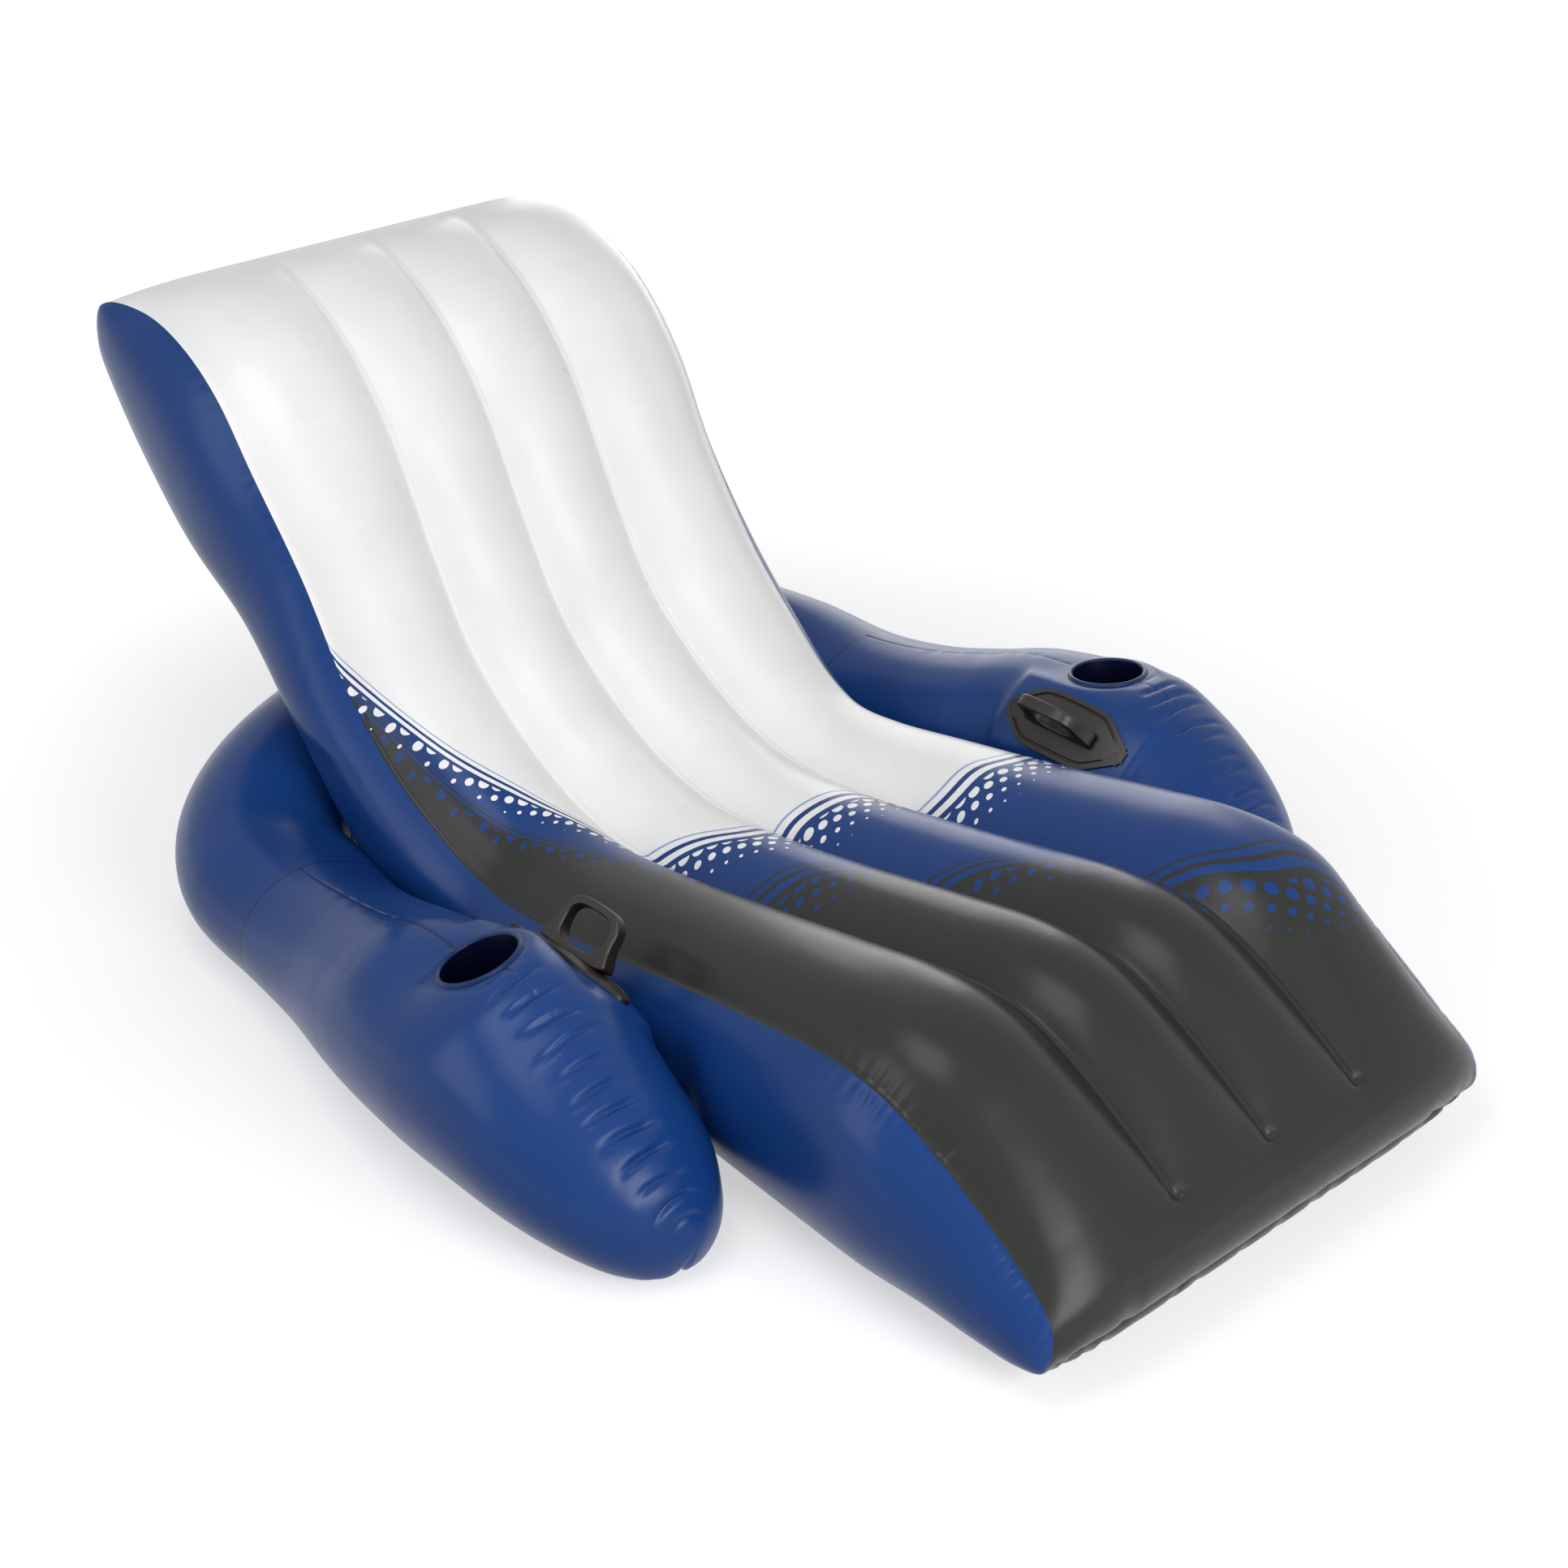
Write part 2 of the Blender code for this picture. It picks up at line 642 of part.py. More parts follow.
def build_baffles(lounge):
    """Upright strips between the top and under welds, inside the lounge."""
    normals = lounge.mean_normals()
    rows = [row for row in range(LOUNGE_ROWS + 1)
            if WELD_START + WELD_FADE < LAST_STATION * row / LOUNGE_ROWS < WELD_END - WELD_FADE]
    places = {"right": CHANNEL_STEPS, "middle": 2 * CHANNEL_STEPS, "left": 3 * CHANNEL_STEPS}
    for name, column in places.items():
        rails = []
        for sheet in ("top", "under"):
            indices = [lounge.places[(row, sheet, column)] for row in rows]
            inset = JOIN_SPACE
            rails.append([lounge.points[i] - inset * normals[i] for i in indices])
        points, polygons = [], []
        for shift in (-VINYL / 2, VINYL / 2):
            for rail in rails:
                points += [point + np.array([shift, 0, 0]) for point in rail]
        count = len(rows)
        for k in range(count - 1):
            for base in (0, 2 * count):
                polygons.append([base + k, base + k + 1, base + count + k + 1, base + count + k])
            for base in (0, count):
                polygons.append([base + k, base + k + 1, base + k + 1 + 2 * count,
                                 base + k + 2 * count])
        for k in (0, count - 1):
            polygons.append([k, k + count, k + 3 * count, k + 2 * count])
        new_object("baffle_" + name, points, polygons, WHITE)


def build_tube(tube):
    """The sheets of the arms and the crescent."""
    normals = tube.mean_normals()
    return {panel: new_object(panel, *sheet_from(tube, panel, normals), BLUE)
            for panel in tube.panels}


def build_cup(side_name, sheets):
    """Sleeve with its welded rim, and the disc under it."""
    side = SIDES[side_name]
    origin, normal = cup_plane(side)
    place = frame_at(origin, normal, (1, 0, 0))
    outer = CUP_WIDTH / 2
    foot = outer - CUP_TAPER
    top = FIT + VINYL
    wall = [(outer - VINYL, top), (outer + CUP_RIM, top), (outer + CUP_RIM, FIT),
            (outer, FIT), (foot, -CUP_DEPTH), (foot - VINYL, -CUP_DEPTH)]
    new_object("cup_wall_" + side_name, *turned(wall, HOLE_SIDES), DARK_BLUE, place=place)
    reach, low = foot - VINYL - FIT, -CUP_DEPTH
    disc = [(0, low + VINYL), (reach, low + VINYL), (reach, low), (0, low)]
    new_object("cup_floor_" + side_name, *turned(disc, HOLE_SIDES), DARK_BLUE, place=place)
    tool = cutter("cup_cutter_" + side_name, outer + FIT, CUT_OVERRUN, place)
    for across in ("inner", "outer"):
        cut(sheets["arm_" + across + "_" + side_name], tool)


def join(item, other):
    """Boolean union that stays on the object, with the other solid as a hidden guide."""
    other.hide_render = True
    other.display_type = "WIRE"
    modifier = item.modifiers.new("join", "BOOLEAN")
    modifier.object = other
    modifier.operation = "UNION"
    modifier.solver = "EXACT"


def outline_solid(outline, low, high):
    """Points and polygons of an outline (X, Y) between two heights."""
    count = len(outline)
    points = [(x, y, low) for x, y in outline] + [(x, y, high) for x, y in outline]
    polygons = [list(range(count)), list(range(count, 2 * count))]
    polygons += [[i, (i + 1) % count, (i + 1) % count + count, i + count] for i in range(count)]
    return points, polygons


def rounded(corners, radius, steps=3):
    """Outline with each corner replaced by an arc."""
    outline = []
    for i, corner in enumerate(np.array(corners, float)):
        before = np.array(corners[i - 1], float) - corner
        after = np.array(corners[(i + 1) % len(corners)], float) - corner
        before /= np.linalg.norm(before)
        after /= np.linalg.norm(after)
        half = math.acos(np.clip(np.dot(before, after), -1, 1)) / 2
        centre = corner + (before + after) / np.linalg.norm(before + after) * radius / math.sin(half)
        start = corner + before * radius / math.tan(half) - centre
        end = corner + after * radius / math.tan(half) - centre
        first, last = math.atan2(start[1], start[0]), math.atan2(end[1], end[0])
        sweep = (last - first + math.pi) % (2 * math.pi) - math.pi
        for step in range(steps + 1):
            angle = first + sweep * step / steps
            outline.append(tuple(centre + radius * np.array([math.cos(angle), math.sin(angle)])))
    return outline


def swept(path, half_width, half_depth):
    """Bar of eight-sided section along a path in the XZ plane, as points and polygons."""
    points, polygons = [], []
    path = np.array(path, float)
    bevel = 0.55
    section = [(1, bevel), (bevel, 1), (-bevel, 1), (-1, bevel), (-1, -bevel), (-bevel, -1),
               (bevel, -1), (1, -bevel)]
    for i, spot in enumerate(path):
        run = path[min(i + 1, len(path) - 1)] - path[max(i - 1, 0)]
        across = np.array([-run[1], run[0]]) / np.linalg.norm(run)
        for u, v in section:
            x, z = spot + across * v * half_depth
            points.append((x, u * half_width, z))
    count = len(section)
    for i in range(len(path) - 1):
        for k in range(count):
            j = (k + 1) % count
            polygons.append([i * count + k, i * count + j, (i + 1) * count + j, (i + 1) * count + k])
    polygons.append(list(range(count)))
    polygons.append(list(range(len(points) - count, len(points))))
    return points, polygons


def build_handle(side_name):
    """Moulded grab handle: a barrel-shaped plate with an arched grip standing on it."""
    origin, normal = handle_plane(SIDES[side_name])
    place = frame_at(origin, normal, (0, 1, 0))
    half_length, half_width = HANDLE_LENGTH / 2, HANDLE_WIDTH / 2
    end_width, shoulder = half_width * 0.52, half_length * 0.62
    plate = rounded([(half_length, end_width), (shoulder, half_width), (-shoulder, half_width),
                     (-half_length, end_width), (-half_length, -end_width),
                     (-shoulder, -half_width), (shoulder, -half_width),
                     (half_length, -end_width)], half_width * 0.2)
    base = outline_solid(plate, FIT, FIT + HANDLE_PLATE)
    item = new_object("grab_handle_" + side_name, *base, BLACK, 0.45, place)
    foot, crown = (GRIP_LENGTH - GRIP_BAR) / 2, GRIP_LENGTH / 2 - GRIP_FLARE
    low, high = FIT + HANDLE_PLATE / 2, FIT + GRIP_HEIGHT - GRIP_BAR / 2
    left = rounded([(foot, low), (crown, high), (-crown, high), (-foot, low)], GRIP_BAR * 1.4, 4)
    path = [(foot, low)] + [spot for spot in left if spot[1] > (low + high) / 2] + [(-foot, low)]
    guide = new_object("grip_guide_" + side_name, *swept(path, GRIP_WIDTH / 2, GRIP_BAR / 2),
                       BLACK, place=place)
    join(item, guide)


def build_side_patch(side_name):
    """Welded patch between an arm and the lounge's side."""
    side = SIDES[side_name]
    x = side * (CONTACT + FIT + VINYL / 2)
    low = JOIN_SETBACK - JOIN_LENGTH / 2
    middle = ARM_HEIGHT * 0.36
    points = []
    for dx in (-VINYL / 2, VINYL / 2):
        for dy in (0, JOIN_LENGTH):
            for dz in (-JOIN_HEIGHT / 2, JOIN_HEIGHT / 2):
                points.append((x + dx, low + dy, middle + dz))
    polygons = [[0, 1, 3, 2], [4, 5, 7, 6], [0, 1, 5, 4], [2, 3, 7, 6], [0, 2, 6, 4], [1, 3, 7, 5]]
    new_object("join_patch_" + side_name, points, polygons, BLUE)


def seat_on(corners):
    """Centre and normal of a seat just clear of a nearly flat face."""
    corners = [np.asarray(corner) for corner in corners]
    normal = np.cross(corners[2] - corners[0], corners[3] - corners[1])
    normal /= np.linalg.norm(normal)
    centre = np.mean(corners, axis=0)
    lift = max(np.dot(corner - centre, normal) for corner in corners)
    return centre + normal * lift, normal


def build_valve(name, seat, along, sheet):
    """Inflation valve: flange and collar, sliding stem with its flap, and plug."""
    place = frame_at(seat[0], seat[1], along)
    flange_top = FIT + VALVE_FLANGE
    bore = STEM_RADIUS + FIT
    flange = [(bore, flange_top), (VALVE_FLANGE_RADIUS - VALVE_FLANGE / 2, flange_top),
              (VALVE_FLANGE_RADIUS, FIT + VALVE_FLANGE / 2), (VALVE_FLANGE_RADIUS, FIT),
              (VALVE_COLLAR_RADIUS, FIT), (VALVE_COLLAR_RADIUS, -VALVE_COLLAR_DEPTH),
              (bore, -VALVE_COLLAR_DEPTH)]
    new_object(name + "_flange", *turned(flange, VALVE_SIDES), CLEAR_GREY, place=place)
    cut(sheet, cutter(name + "_cutter", VALVE_COLLAR_RADIUS + FIT, CUT_OVERRUN, place))
    lip_low = flange_top + FIT
    lip_top = lip_low + STEM_LIP
    stem_low = lip_top - STEM_LENGTH
    stem = [(STEM_BORE_RADIUS, lip_top), (STEM_LIP_RADIUS - STEM_LIP / 2, lip_top),
            (STEM_LIP_RADIUS, lip_top - STEM_LIP / 2), (STEM_LIP_RADIUS, lip_low),
            (STEM_RADIUS, lip_low), (STEM_RADIUS, stem_low), (STEM_BORE_RADIUS, stem_low)]
    new_object(name + "_stem", *turned(stem, VALVE_SIDES), CLEAR_GREY, place=place)
    flap_top = stem_low - FIT
    flap = [(0, flap_top), (STEM_RADIUS - FIT, flap_top), (STEM_RADIUS - FIT, flap_top - VINYL),
            (0, flap_top - VINYL)]
    new_object(name + "_flap", *turned(flap, VALVE_SIDES), CLEAR_GREY, place=place)
    head_low = lip_top + FIT
    head_top = head_low + PLUG_HEAD
    shank = STEM_BORE_RADIUS - FIT
    plug = [(0, head_top), (PLUG_HEAD_RADIUS - PLUG_HEAD / 2, head_top),
            (PLUG_HEAD_RADIUS, head_top - PLUG_HEAD / 2), (PLUG_HEAD_RADIUS, head_low),
            (shank, head_low), (shank, lip_top - PLUG_LENGTH + shank / 2),
            (shank / 2, lip_top - PLUG_LENGTH), (0, lip_top - PLUG_LENGTH)]
    item = new_object(name + "_plug", *turned(plug, VALVE_SIDES), CLEAR_GREY, place=place)
    reach = PLUG_HEAD_RADIUS + PLUG_TAB
    half = PLUG_TAB_WIDTH / 2
    tab = rounded([(0, -half), (reach, -half), (reach, half), (0, half)], half * 0.9)
    guide = new_object(name + "_tab_guide", *outline_solid(tab, head_low, head_low + PLUG_HEAD / 2),
                       CLEAR_GREY, place=place)
    join(item, guide)


def main():
    for item in list(bpy.data.objects):
        bpy.data.objects.remove(item)
    lounge, tube = lounge_skin(), tube_skin()
    sheets = build_lounge(lounge)
    build_baffles(lounge)
    sheets.update(build_tube(tube))
    for side_name in SIDES:
        build_cup(side_name, sheets)
        build_handle(side_name)
        build_side_patch(side_name)
    row = round(VALVE_STATION * LOUNGE_ROWS / LAST_STATION)
    first = 2 * CHANNEL_STEPS + 1
    keys = [(row + 1, "under", first), (row + 1, "under", first + 1), (row, "under", first + 1),
            (row, "under", first)]
    corners = [lounge.points[lounge.places[key]] for key in keys]
    build_valve("back_valve", seat_on(corners), (1, 0, 0), sheets["lounge_under_panel"])
    row = ARM_ROWS + CRESCENT_ROWS // 2
    keys = [(row, 1), (row, 2), (row + 1, 2), (row + 1, 1)]
    corners = [tube.points[tube.places[key]] for key in keys]
    build_valve("ring_valve", seat_on(corners), (1, 0, 0), sheets["crescent_upper_panel"])


main()
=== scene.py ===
"""Inflatable pool chair, dressed for its picture: printed and plain PVC film round two air chambers.

Metres, +Z up, floor at Z = 0. The foot end points to -Y. Left is the sitter's left, +X.
"""
import math

import bmesh
import bpy
import numpy as np
from mathutils import Matrix, Vector


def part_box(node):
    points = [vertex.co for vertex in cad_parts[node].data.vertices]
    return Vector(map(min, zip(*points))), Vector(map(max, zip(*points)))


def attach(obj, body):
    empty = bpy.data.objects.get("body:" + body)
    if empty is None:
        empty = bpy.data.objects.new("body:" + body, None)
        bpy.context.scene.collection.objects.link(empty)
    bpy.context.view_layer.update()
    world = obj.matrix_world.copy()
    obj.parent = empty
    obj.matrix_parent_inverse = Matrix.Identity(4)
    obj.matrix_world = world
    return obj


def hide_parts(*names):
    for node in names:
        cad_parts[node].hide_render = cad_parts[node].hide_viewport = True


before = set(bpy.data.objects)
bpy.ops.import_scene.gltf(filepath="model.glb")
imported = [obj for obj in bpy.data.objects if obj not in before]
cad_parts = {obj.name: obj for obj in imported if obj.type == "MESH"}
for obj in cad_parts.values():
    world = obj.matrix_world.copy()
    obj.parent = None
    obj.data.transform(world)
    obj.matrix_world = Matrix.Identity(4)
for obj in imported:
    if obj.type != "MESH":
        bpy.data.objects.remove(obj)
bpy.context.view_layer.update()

MM = 0.001

# Studio: a floor of matt white paper under a white sky, and four soft lamps: above the near arm,
# at the picture's left, before the foot end, and low behind the far arm. The camera stands where the
# photograph's did, and its lens is longer, so that the one chair fills the frame.
WHITE = "FFFFFF"
SKY_LEVEL = 0.20


def colour(code):
    """Linear colour of an sRGB hex code."""
    parts = [int(code[i:i + 2], 16) / 255 for i in (0, 2, 4)]
    linear = [part / 12.92 if part <= 0.04045 else ((part + 0.055) / 1.055)**2.4 for part in parts]
    return (*linear, 1.0)


def add(tree, kind, inputs=(), **settings):
    """A shader node with its settings. Each input, by name or in order, takes a value, an output or
    the first output of a node."""
    node = tree.nodes.new("ShaderNode" + kind)
    for name, value in settings.items():
        setattr(node, name, value)
    for name, value in inputs.items() if isinstance(inputs, dict) else enumerate(inputs):
        if isinstance(value, bpy.types.Node):
            value = value.outputs[0]
        if isinstance(value, bpy.types.NodeSocket):
            tree.links.new(value, node.inputs[name])
        else:
            node.inputs[name].default_value = value
    return node


def new_material(name, levels):
    """A material, its node tree and its shader, whose inputs take the given levels."""
    material = bpy.data.materials.new(name)
    material.use_nodes = True
    shader = material.node_tree.nodes["Principled BSDF"]
    for socket, level in levels.items():
        shader.inputs[socket].default_value = level
    return material, material.node_tree, shader


def object_of(name, work, material):
    """A smooth-shaded object made of a bmesh, which is then freed."""
    mesh = bpy.data.meshes.new(name)
    work.to_mesh(mesh)
    work.free()
    mesh.shade_smooth()
    mesh.materials.append(material)
    item = bpy.data.objects.new(name, mesh)
    bpy.context.scene.collection.objects.link(item)
    return item


camera = bpy.data.objects.new("camera", bpy.data.cameras.new("camera"))
camera.location = (-1.9156, -2.2089, 1.8908)
camera.rotation_euler = (math.radians(61.41), 0, math.radians(-41.80))
camera.data.lens = 60.8
camera.data.sensor_width = 36
camera.data.shift_x, camera.data.shift_y = 0.0088, -0.0342
bpy.context.scene.collection.objects.link(camera)
bpy.context.scene.camera = camera
bpy.context.scene.view_settings.view_transform = "Standard"


def background_rays(tree):
    """1 on the rays that see the background: the camera's, and those off gloss and through clear PVC."""
    rays = add(tree, "LightPath").outputs
    shown = add(tree, "Math", (rays["Is Camera Ray"], rays["Is Glossy Ray"]), operation="MAXIMUM")
    return add(tree, "Math", (shown, rays["Is Transmission Ray"]), operation="MAXIMUM")


# Matt paper has no highlight. It glows on the background's rays, so that it runs into the white sky
paper, paper_tree, paper_shader = new_material("matt_white_paper", {
    "Base Color": colour("C4C4C4"), "Roughness": 0.9, "Emission Color": colour(WHITE)})
spot = add(paper_tree, "TexCoord").outputs["Object"]
away = add(paper_tree, "VectorMath", (spot,), operation="LENGTH").outputs["Value"]
lift = add(paper_tree, "MapRange", {"Value": away, "From Min": 0.7, "From Max": 2.2,
                                    "To Min": 0.55, "To Max": 1.0},
           interpolation_type="SMOOTHSTEP")
lifted = add(paper_tree, "Math", (background_rays(paper_tree), lift), operation="MULTIPLY")
paper_tree.links.new(lifted.outputs[0], paper_shader.inputs["Emission Strength"])
floor = bmesh.new()
bmesh.ops.create_grid(floor, x_segments=1, y_segments=1, size=12)
object_of("floor", floor, paper)

world = bpy.data.worlds.new("white_sky")
bpy.context.scene.world = world
world.use_nodes = True
sky = world.node_tree.nodes["Background"]
sky.inputs["Color"].default_value = colour(WHITE)
level = add(world.node_tree, "MapRange", {"Value": background_rays(world.node_tree),
                                          "To Min": SKY_LEVEL, "To Max": 1.0})
world.node_tree.links.new(level.outputs[0], sky.inputs["Strength"])


def soft_lamp(name, place, target, width, power):
    """Square softbox that faces a target."""
    lamp = bpy.data.lights.new(name, "AREA")
    lamp.shape = "SQUARE"
    lamp.size = width
    lamp.energy = power
    item = bpy.data.objects.new(name, lamp)
    item.location = place
    item.rotation_euler = (Vector(target) - Vector(place)).to_track_quat("-Z", "Y").to_euler()
    bpy.context.scene.collection.objects.link(item)


soft_lamp("top_softbox", (-1.2, -0.3, 2.7), (0, 0, 0.2), 1.5, 24)
soft_lamp("side_softbox", (-3.2, 0.7, 1.6), (0, 0, 0.2), 1.7, 20)
soft_lamp("front_softbox", (-0.5, -3.4, 1.75), (0, 0.3, 0.5), 1.9, 82)
soft_lamp("far_softbox", (2.6, 2.4, 1.1), (0, -0.3, 0.3), 2.0, 22)

# Lounge: four sheets of PVC film round one air chamber, welded together at the edges. Inner
# strips hold the top and under sheets together, which makes the four crowned channels. The film is
# 0.4 mm thick, and it gathers where a flat cut panel is forced round a bend.
VINYL = 0.4 * MM
LOUNGE_LENGTH = 1.765
HEAD_HEIGHT = 0.740
HALF_WIDTH = 0.362
WELD_SPACING = 0.150
TOP_CROWN = 0.036
EDGE_CROWN = 0.050
UNDER_CROWN = 0.032
GUSSET_CROWN = 0.050
GUSSET_SHARE, BACK_LESS, BACK_STATION = 0.33, 0.11, 12.5
WELD_RISE = 0.022
PILLOW_RISE = 0.033
WELD_HALF_WIDTH = 3.6 * MM
CONTACT, FREE_SPACE = 0.378, 0.060
PRESS_EDGE = 5 * MM
SETBACK = 0.885
TOP_SEAM_SHARES = (
    (0.000, 0.076), (0.002, 0.142), (0.034, 0.203), (0.090, 0.288), (0.136, 0.347),
    (0.187, 0.354), (0.255, 0.328), (0.340, 0.288), (0.428, 0.249), (0.499, 0.218),
    (0.552, 0.214), (0.601, 0.257), (0.652, 0.338), (0.703, 0.453), (0.751, 0.615),
    (0.796, 0.777), (0.839, 0.892), (0.887, 0.957), (0.935, 0.984), (0.978, 0.976),
)
UNDER_SEAM_SHARES = (
    (0.000, 0.076), (0.020, 0.046), (0.054, 0.033), (0.096, 0.031), (0.147, 0.031),
    (0.201, 0.031), (0.263, 0.031), (0.346, 0.031), (0.433, 0.031), (0.516, 0.031),
    (0.595, 0.033), (0.660, 0.088), (0.711, 0.189), (0.768, 0.335), (0.827, 0.459),
    (0.890, 0.574), (0.946, 0.696), (0.985, 0.804), (0.999, 0.880), (0.978, 0.976),
)
LAST_STATION = len(TOP_SEAM_SHARES) - 1
WELD_START = 1.5
WELD_END = 18.9
WELD_FADE = 0.8
WELD_TIP = 0.15
TOE_FADE = 2.8
HEAD_FADE = 3.4
HEAD_HOLD, HOLD_END, HOLD_FADE = 0.55, 16.5, 4
CREASE_END, CREASE_LOSS, SEAT_STATION = 18.2, 0.7, 9
CREASE_DEPTH = 4.5 * MM
CREASE_REACH = 5 * MM
END_SWELL = 1.8
WELD_RISE_SHARES = (0, 0.3, 0.9, 1.0, 0.6, 0.4, 0.2, 0.1, 0.1, 0.5, 1.0, 0.8, 0.4, 0.1, 0.3, 0.7,
                    0.5, 0.4, 0.5, 0)
WIDTH_SHARES = (1.0, 0.975, 0.962, 0.970, 0.990, 0.982, 0.966, 0.944, 0.935, 0.920, 0.905, 0.915,
                0.935, 0.940, 0.935, 0.962, 0.958, 0.950, 0.955, 1.0)
TUBE_LENGTH, CRESCENT_DEPTH, CRESCENT_BEHIND_BACK = 0.760, 0.290, 0.185
REAR_Y = LOUNGE_LENGTH * UNDER_SEAM_SHARES[12][0] + CRESCENT_BEHIND_BACK
NOSE_Y = REAR_Y - CRESCENT_DEPTH - TUBE_LENGTH
WELDS = (-WELD_SPACING, 0.0, WELD_SPACING)
LOUNGE_ROWS = 480
END_ROWS = 0.5
CHANNEL_COLUMNS = 24
GUSSET_COLUMNS = 28


def curve_between(part, before, start, end, after):
    """Points part of the way from start to end, on a curve that also heeds the points around."""
    leave, arrive = (end - before) / 2, (after - start) / 2
    return ((2 * part**3 - 3 * part**2 + 1) * start + (part**3 - 2 * part**2 + part) * leave
            + (3 * part**2 - 2 * part**3) * end + (part**3 - part**2) * arrive)


def smooth(rows, place):
    """Points of a smooth curve through rows of numbers, at places counted in rows."""
    rows = np.asarray(rows, float)
    place = np.asarray(place, float)
    low = np.clip(place.astype(int), 0, len(rows) - 2)
    part = place - low
    if rows.ndim > 1:
        part = part[..., None]
    return curve_between(part, rows[np.maximum(low - 1, 0)], rows[low], rows[low + 1],
                         rows[np.minimum(low + 2, len(rows) - 1)])


def eased(value):
    """A smooth step from 0 to 1."""
    value = np.clip(value, 0, 1)
    return value * value * (3 - 2 * value)


def seam_line(shares, station):
    """Points (Y, Z) of a side seam, which runs on into the other sheet's at the head and the toe."""
    other = UNDER_SEAM_SHARES if shares is TOP_SEAM_SHARES else TOP_SEAM_SHARES
    rows = np.concatenate([[other[1]], shares, [other[-2]]])
    return smooth(rows, np.asarray(station) + 1) * (LOUNGE_LENGTH, HEAD_HEIGHT)


def seam_out(shares, station, side):
    """Unit directions (Y, Z) out of the lounge, square to a side seam."""
    run = (seam_line(shares, np.minimum(station + 0.05, LAST_STATION))
           - seam_line(shares, np.maximum(station - 0.05, 0)))
    run /= np.linalg.norm(run, axis=-1, keepdims=True)
    return side * np.stack([-run[..., 1], run[..., 0]], axis=-1)


def row_stations(count):
    """Stations of rows along the top seam, closer together by the toe and the head."""
    fine = np.linspace(0, LAST_STATION, 2000)
    length = distance_along(seam_line(TOP_SEAM_SHARES, fine)[:, None], 0)[:, 0]
    even = np.linspace(0, 1, count)
    spread = even - END_ROWS * np.sin(2 * math.pi * even) / (2 * math.pi)
    return np.interp(spread * length[-1], length, fine), spread * length[-1]


def surface_normals(points, outside):
    """Unit normals of a grid of points, on the side of a point that lies outside."""
    normals = np.cross(np.gradient(points, axis=1), np.gradient(points, axis=0))
    normals /= np.maximum(np.linalg.norm(normals, axis=2, keepdims=True), 1e-9)
    middle = points.shape[0] // 2, points.shape[1] // 2
    facing = np.dot(np.asarray(outside) - points[middle], normals[middle])
    return normals * (1 if facing > 0 else -1)


def distance_along(points, axis, start=0):
    """Signed distance of each grid point from one row or column, along the grid."""
    first = np.take(points, [0], axis=axis)
    steps = np.linalg.norm(np.diff(points, axis=axis, prepend=first), axis=2)
    length = np.cumsum(steps, axis=axis)
    return length - np.take(length, [start], axis=axis)


def gathers(along, away, ranges, spacing, depth, reach, seed, held=3 * MM, signed=None, order=0.0):
    """Depth of the puckers that stand square to a seam, within ranges of the way along it.

    The film stays still over the held distance from the seam, or not at all where both sheets have
    the same puckers. Those lean by the signed distance. At order 1 all the puckers are alike."""
    chance = np.random.default_rng(seed)
    across_seam = away if signed is None else signed

    def draw(low, high):
        middle = (low + high) / 2
        return middle + (chance.uniform(low, high) - middle) * (1 - order)

    total = np.zeros(np.broadcast(along, away).shape)
    for start, end in ranges:
        place = start
        while place < end:
            share = (place - start) / (end - start)
            taper = min(1.0, 4 * share + 0.3, 4 * (1 - share) + 0.3)
            deep = depth * draw(0.45, 1.0) * taper
            far = reach * draw(0.5, 1.15) * (0.5 + 0.5 * taper)
            lean, wide = draw(-0.22, 0.22), spacing * draw(0.16, 0.30)
            offset = (along - place - lean * across_seam) / (wide * (0.65 + 0.5 * (away / far)**2))
            fade = eased((1 - away / far) / 0.8) * (eased(away / held) if held else 1.0)
            total += deep * np.exp(-offset**2) * fade
            place += spacing * draw(0.6, 1.45)
    return total


def film(name, points, material, outside, cut_across, cut_along, to_seam=1.0):
    """One welded sheet of film through a grid of points, with its flat cut as a UV map in metres,
    and the distance from the seams, along which the shader paints a thin line of shade."""
    rows, columns = points.shape[:2]
    grid = bmesh.new()
    bmesh.ops.create_grid(grid, x_segments=columns - 1, y_segments=rows - 1, size=1)
    for edge in grid.edges:
        edge.smooth = not edge.is_boundary
    item = object_of(name, grid, material)
    mesh = item.data
    flat = np.empty(len(mesh.vertices) * 3)
    mesh.vertices.foreach_get("co", flat)
    column, row = (np.rint((flat[axis::3] + 1) / 2 * (count - 1)).astype(int)
                   for axis, count in enumerate((columns, rows)))
    mesh.vertices.foreach_set("co", points[row, column].ravel())
    middle = points[rows // 2, columns // 2]
    facing = np.cross(points[rows // 2, columns // 2 + 1] - middle,
                      points[rows // 2 + 1, columns // 2] - middle)
    if np.dot(facing, np.asarray(outside) - middle) < 0:
        mesh.flip_normals()
    corner = np.empty(len(mesh.loops), int)
    mesh.loops.foreach_get("vertex_index", corner)
    cut = np.stack([cut_across[row, column], cut_along[row, column]], axis=1)
    shown = mesh.attributes.new("to_seam", "FLOAT", "POINT")
    shown.data.foreach_set("value", np.broadcast_to(to_seam, (rows, columns))[row, column].astype(
        np.float32))
    layer = mesh.uv_layers.new(name="cut")
    layer.uv.foreach_set("vector", cut[corner].astype(np.float32).ravel())
    mesh.update()
    wall = item.modifiers.new("film_thickness", "SOLIDIFY")
    wall.thickness = VINYL
    wall.offset = -1
    return item


def on_chair(item, node, stands_for=True):
    """A piece that rides on the chair and, where it stands for a node's CAD shape, hides that shape."""
    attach(item, "chair")
    if stands_for:
        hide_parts(node)


def finish_film(item, node):
    """A sheet of film rides on the chair, and stands for its CAD sheet."""
    on_chair(item, node)


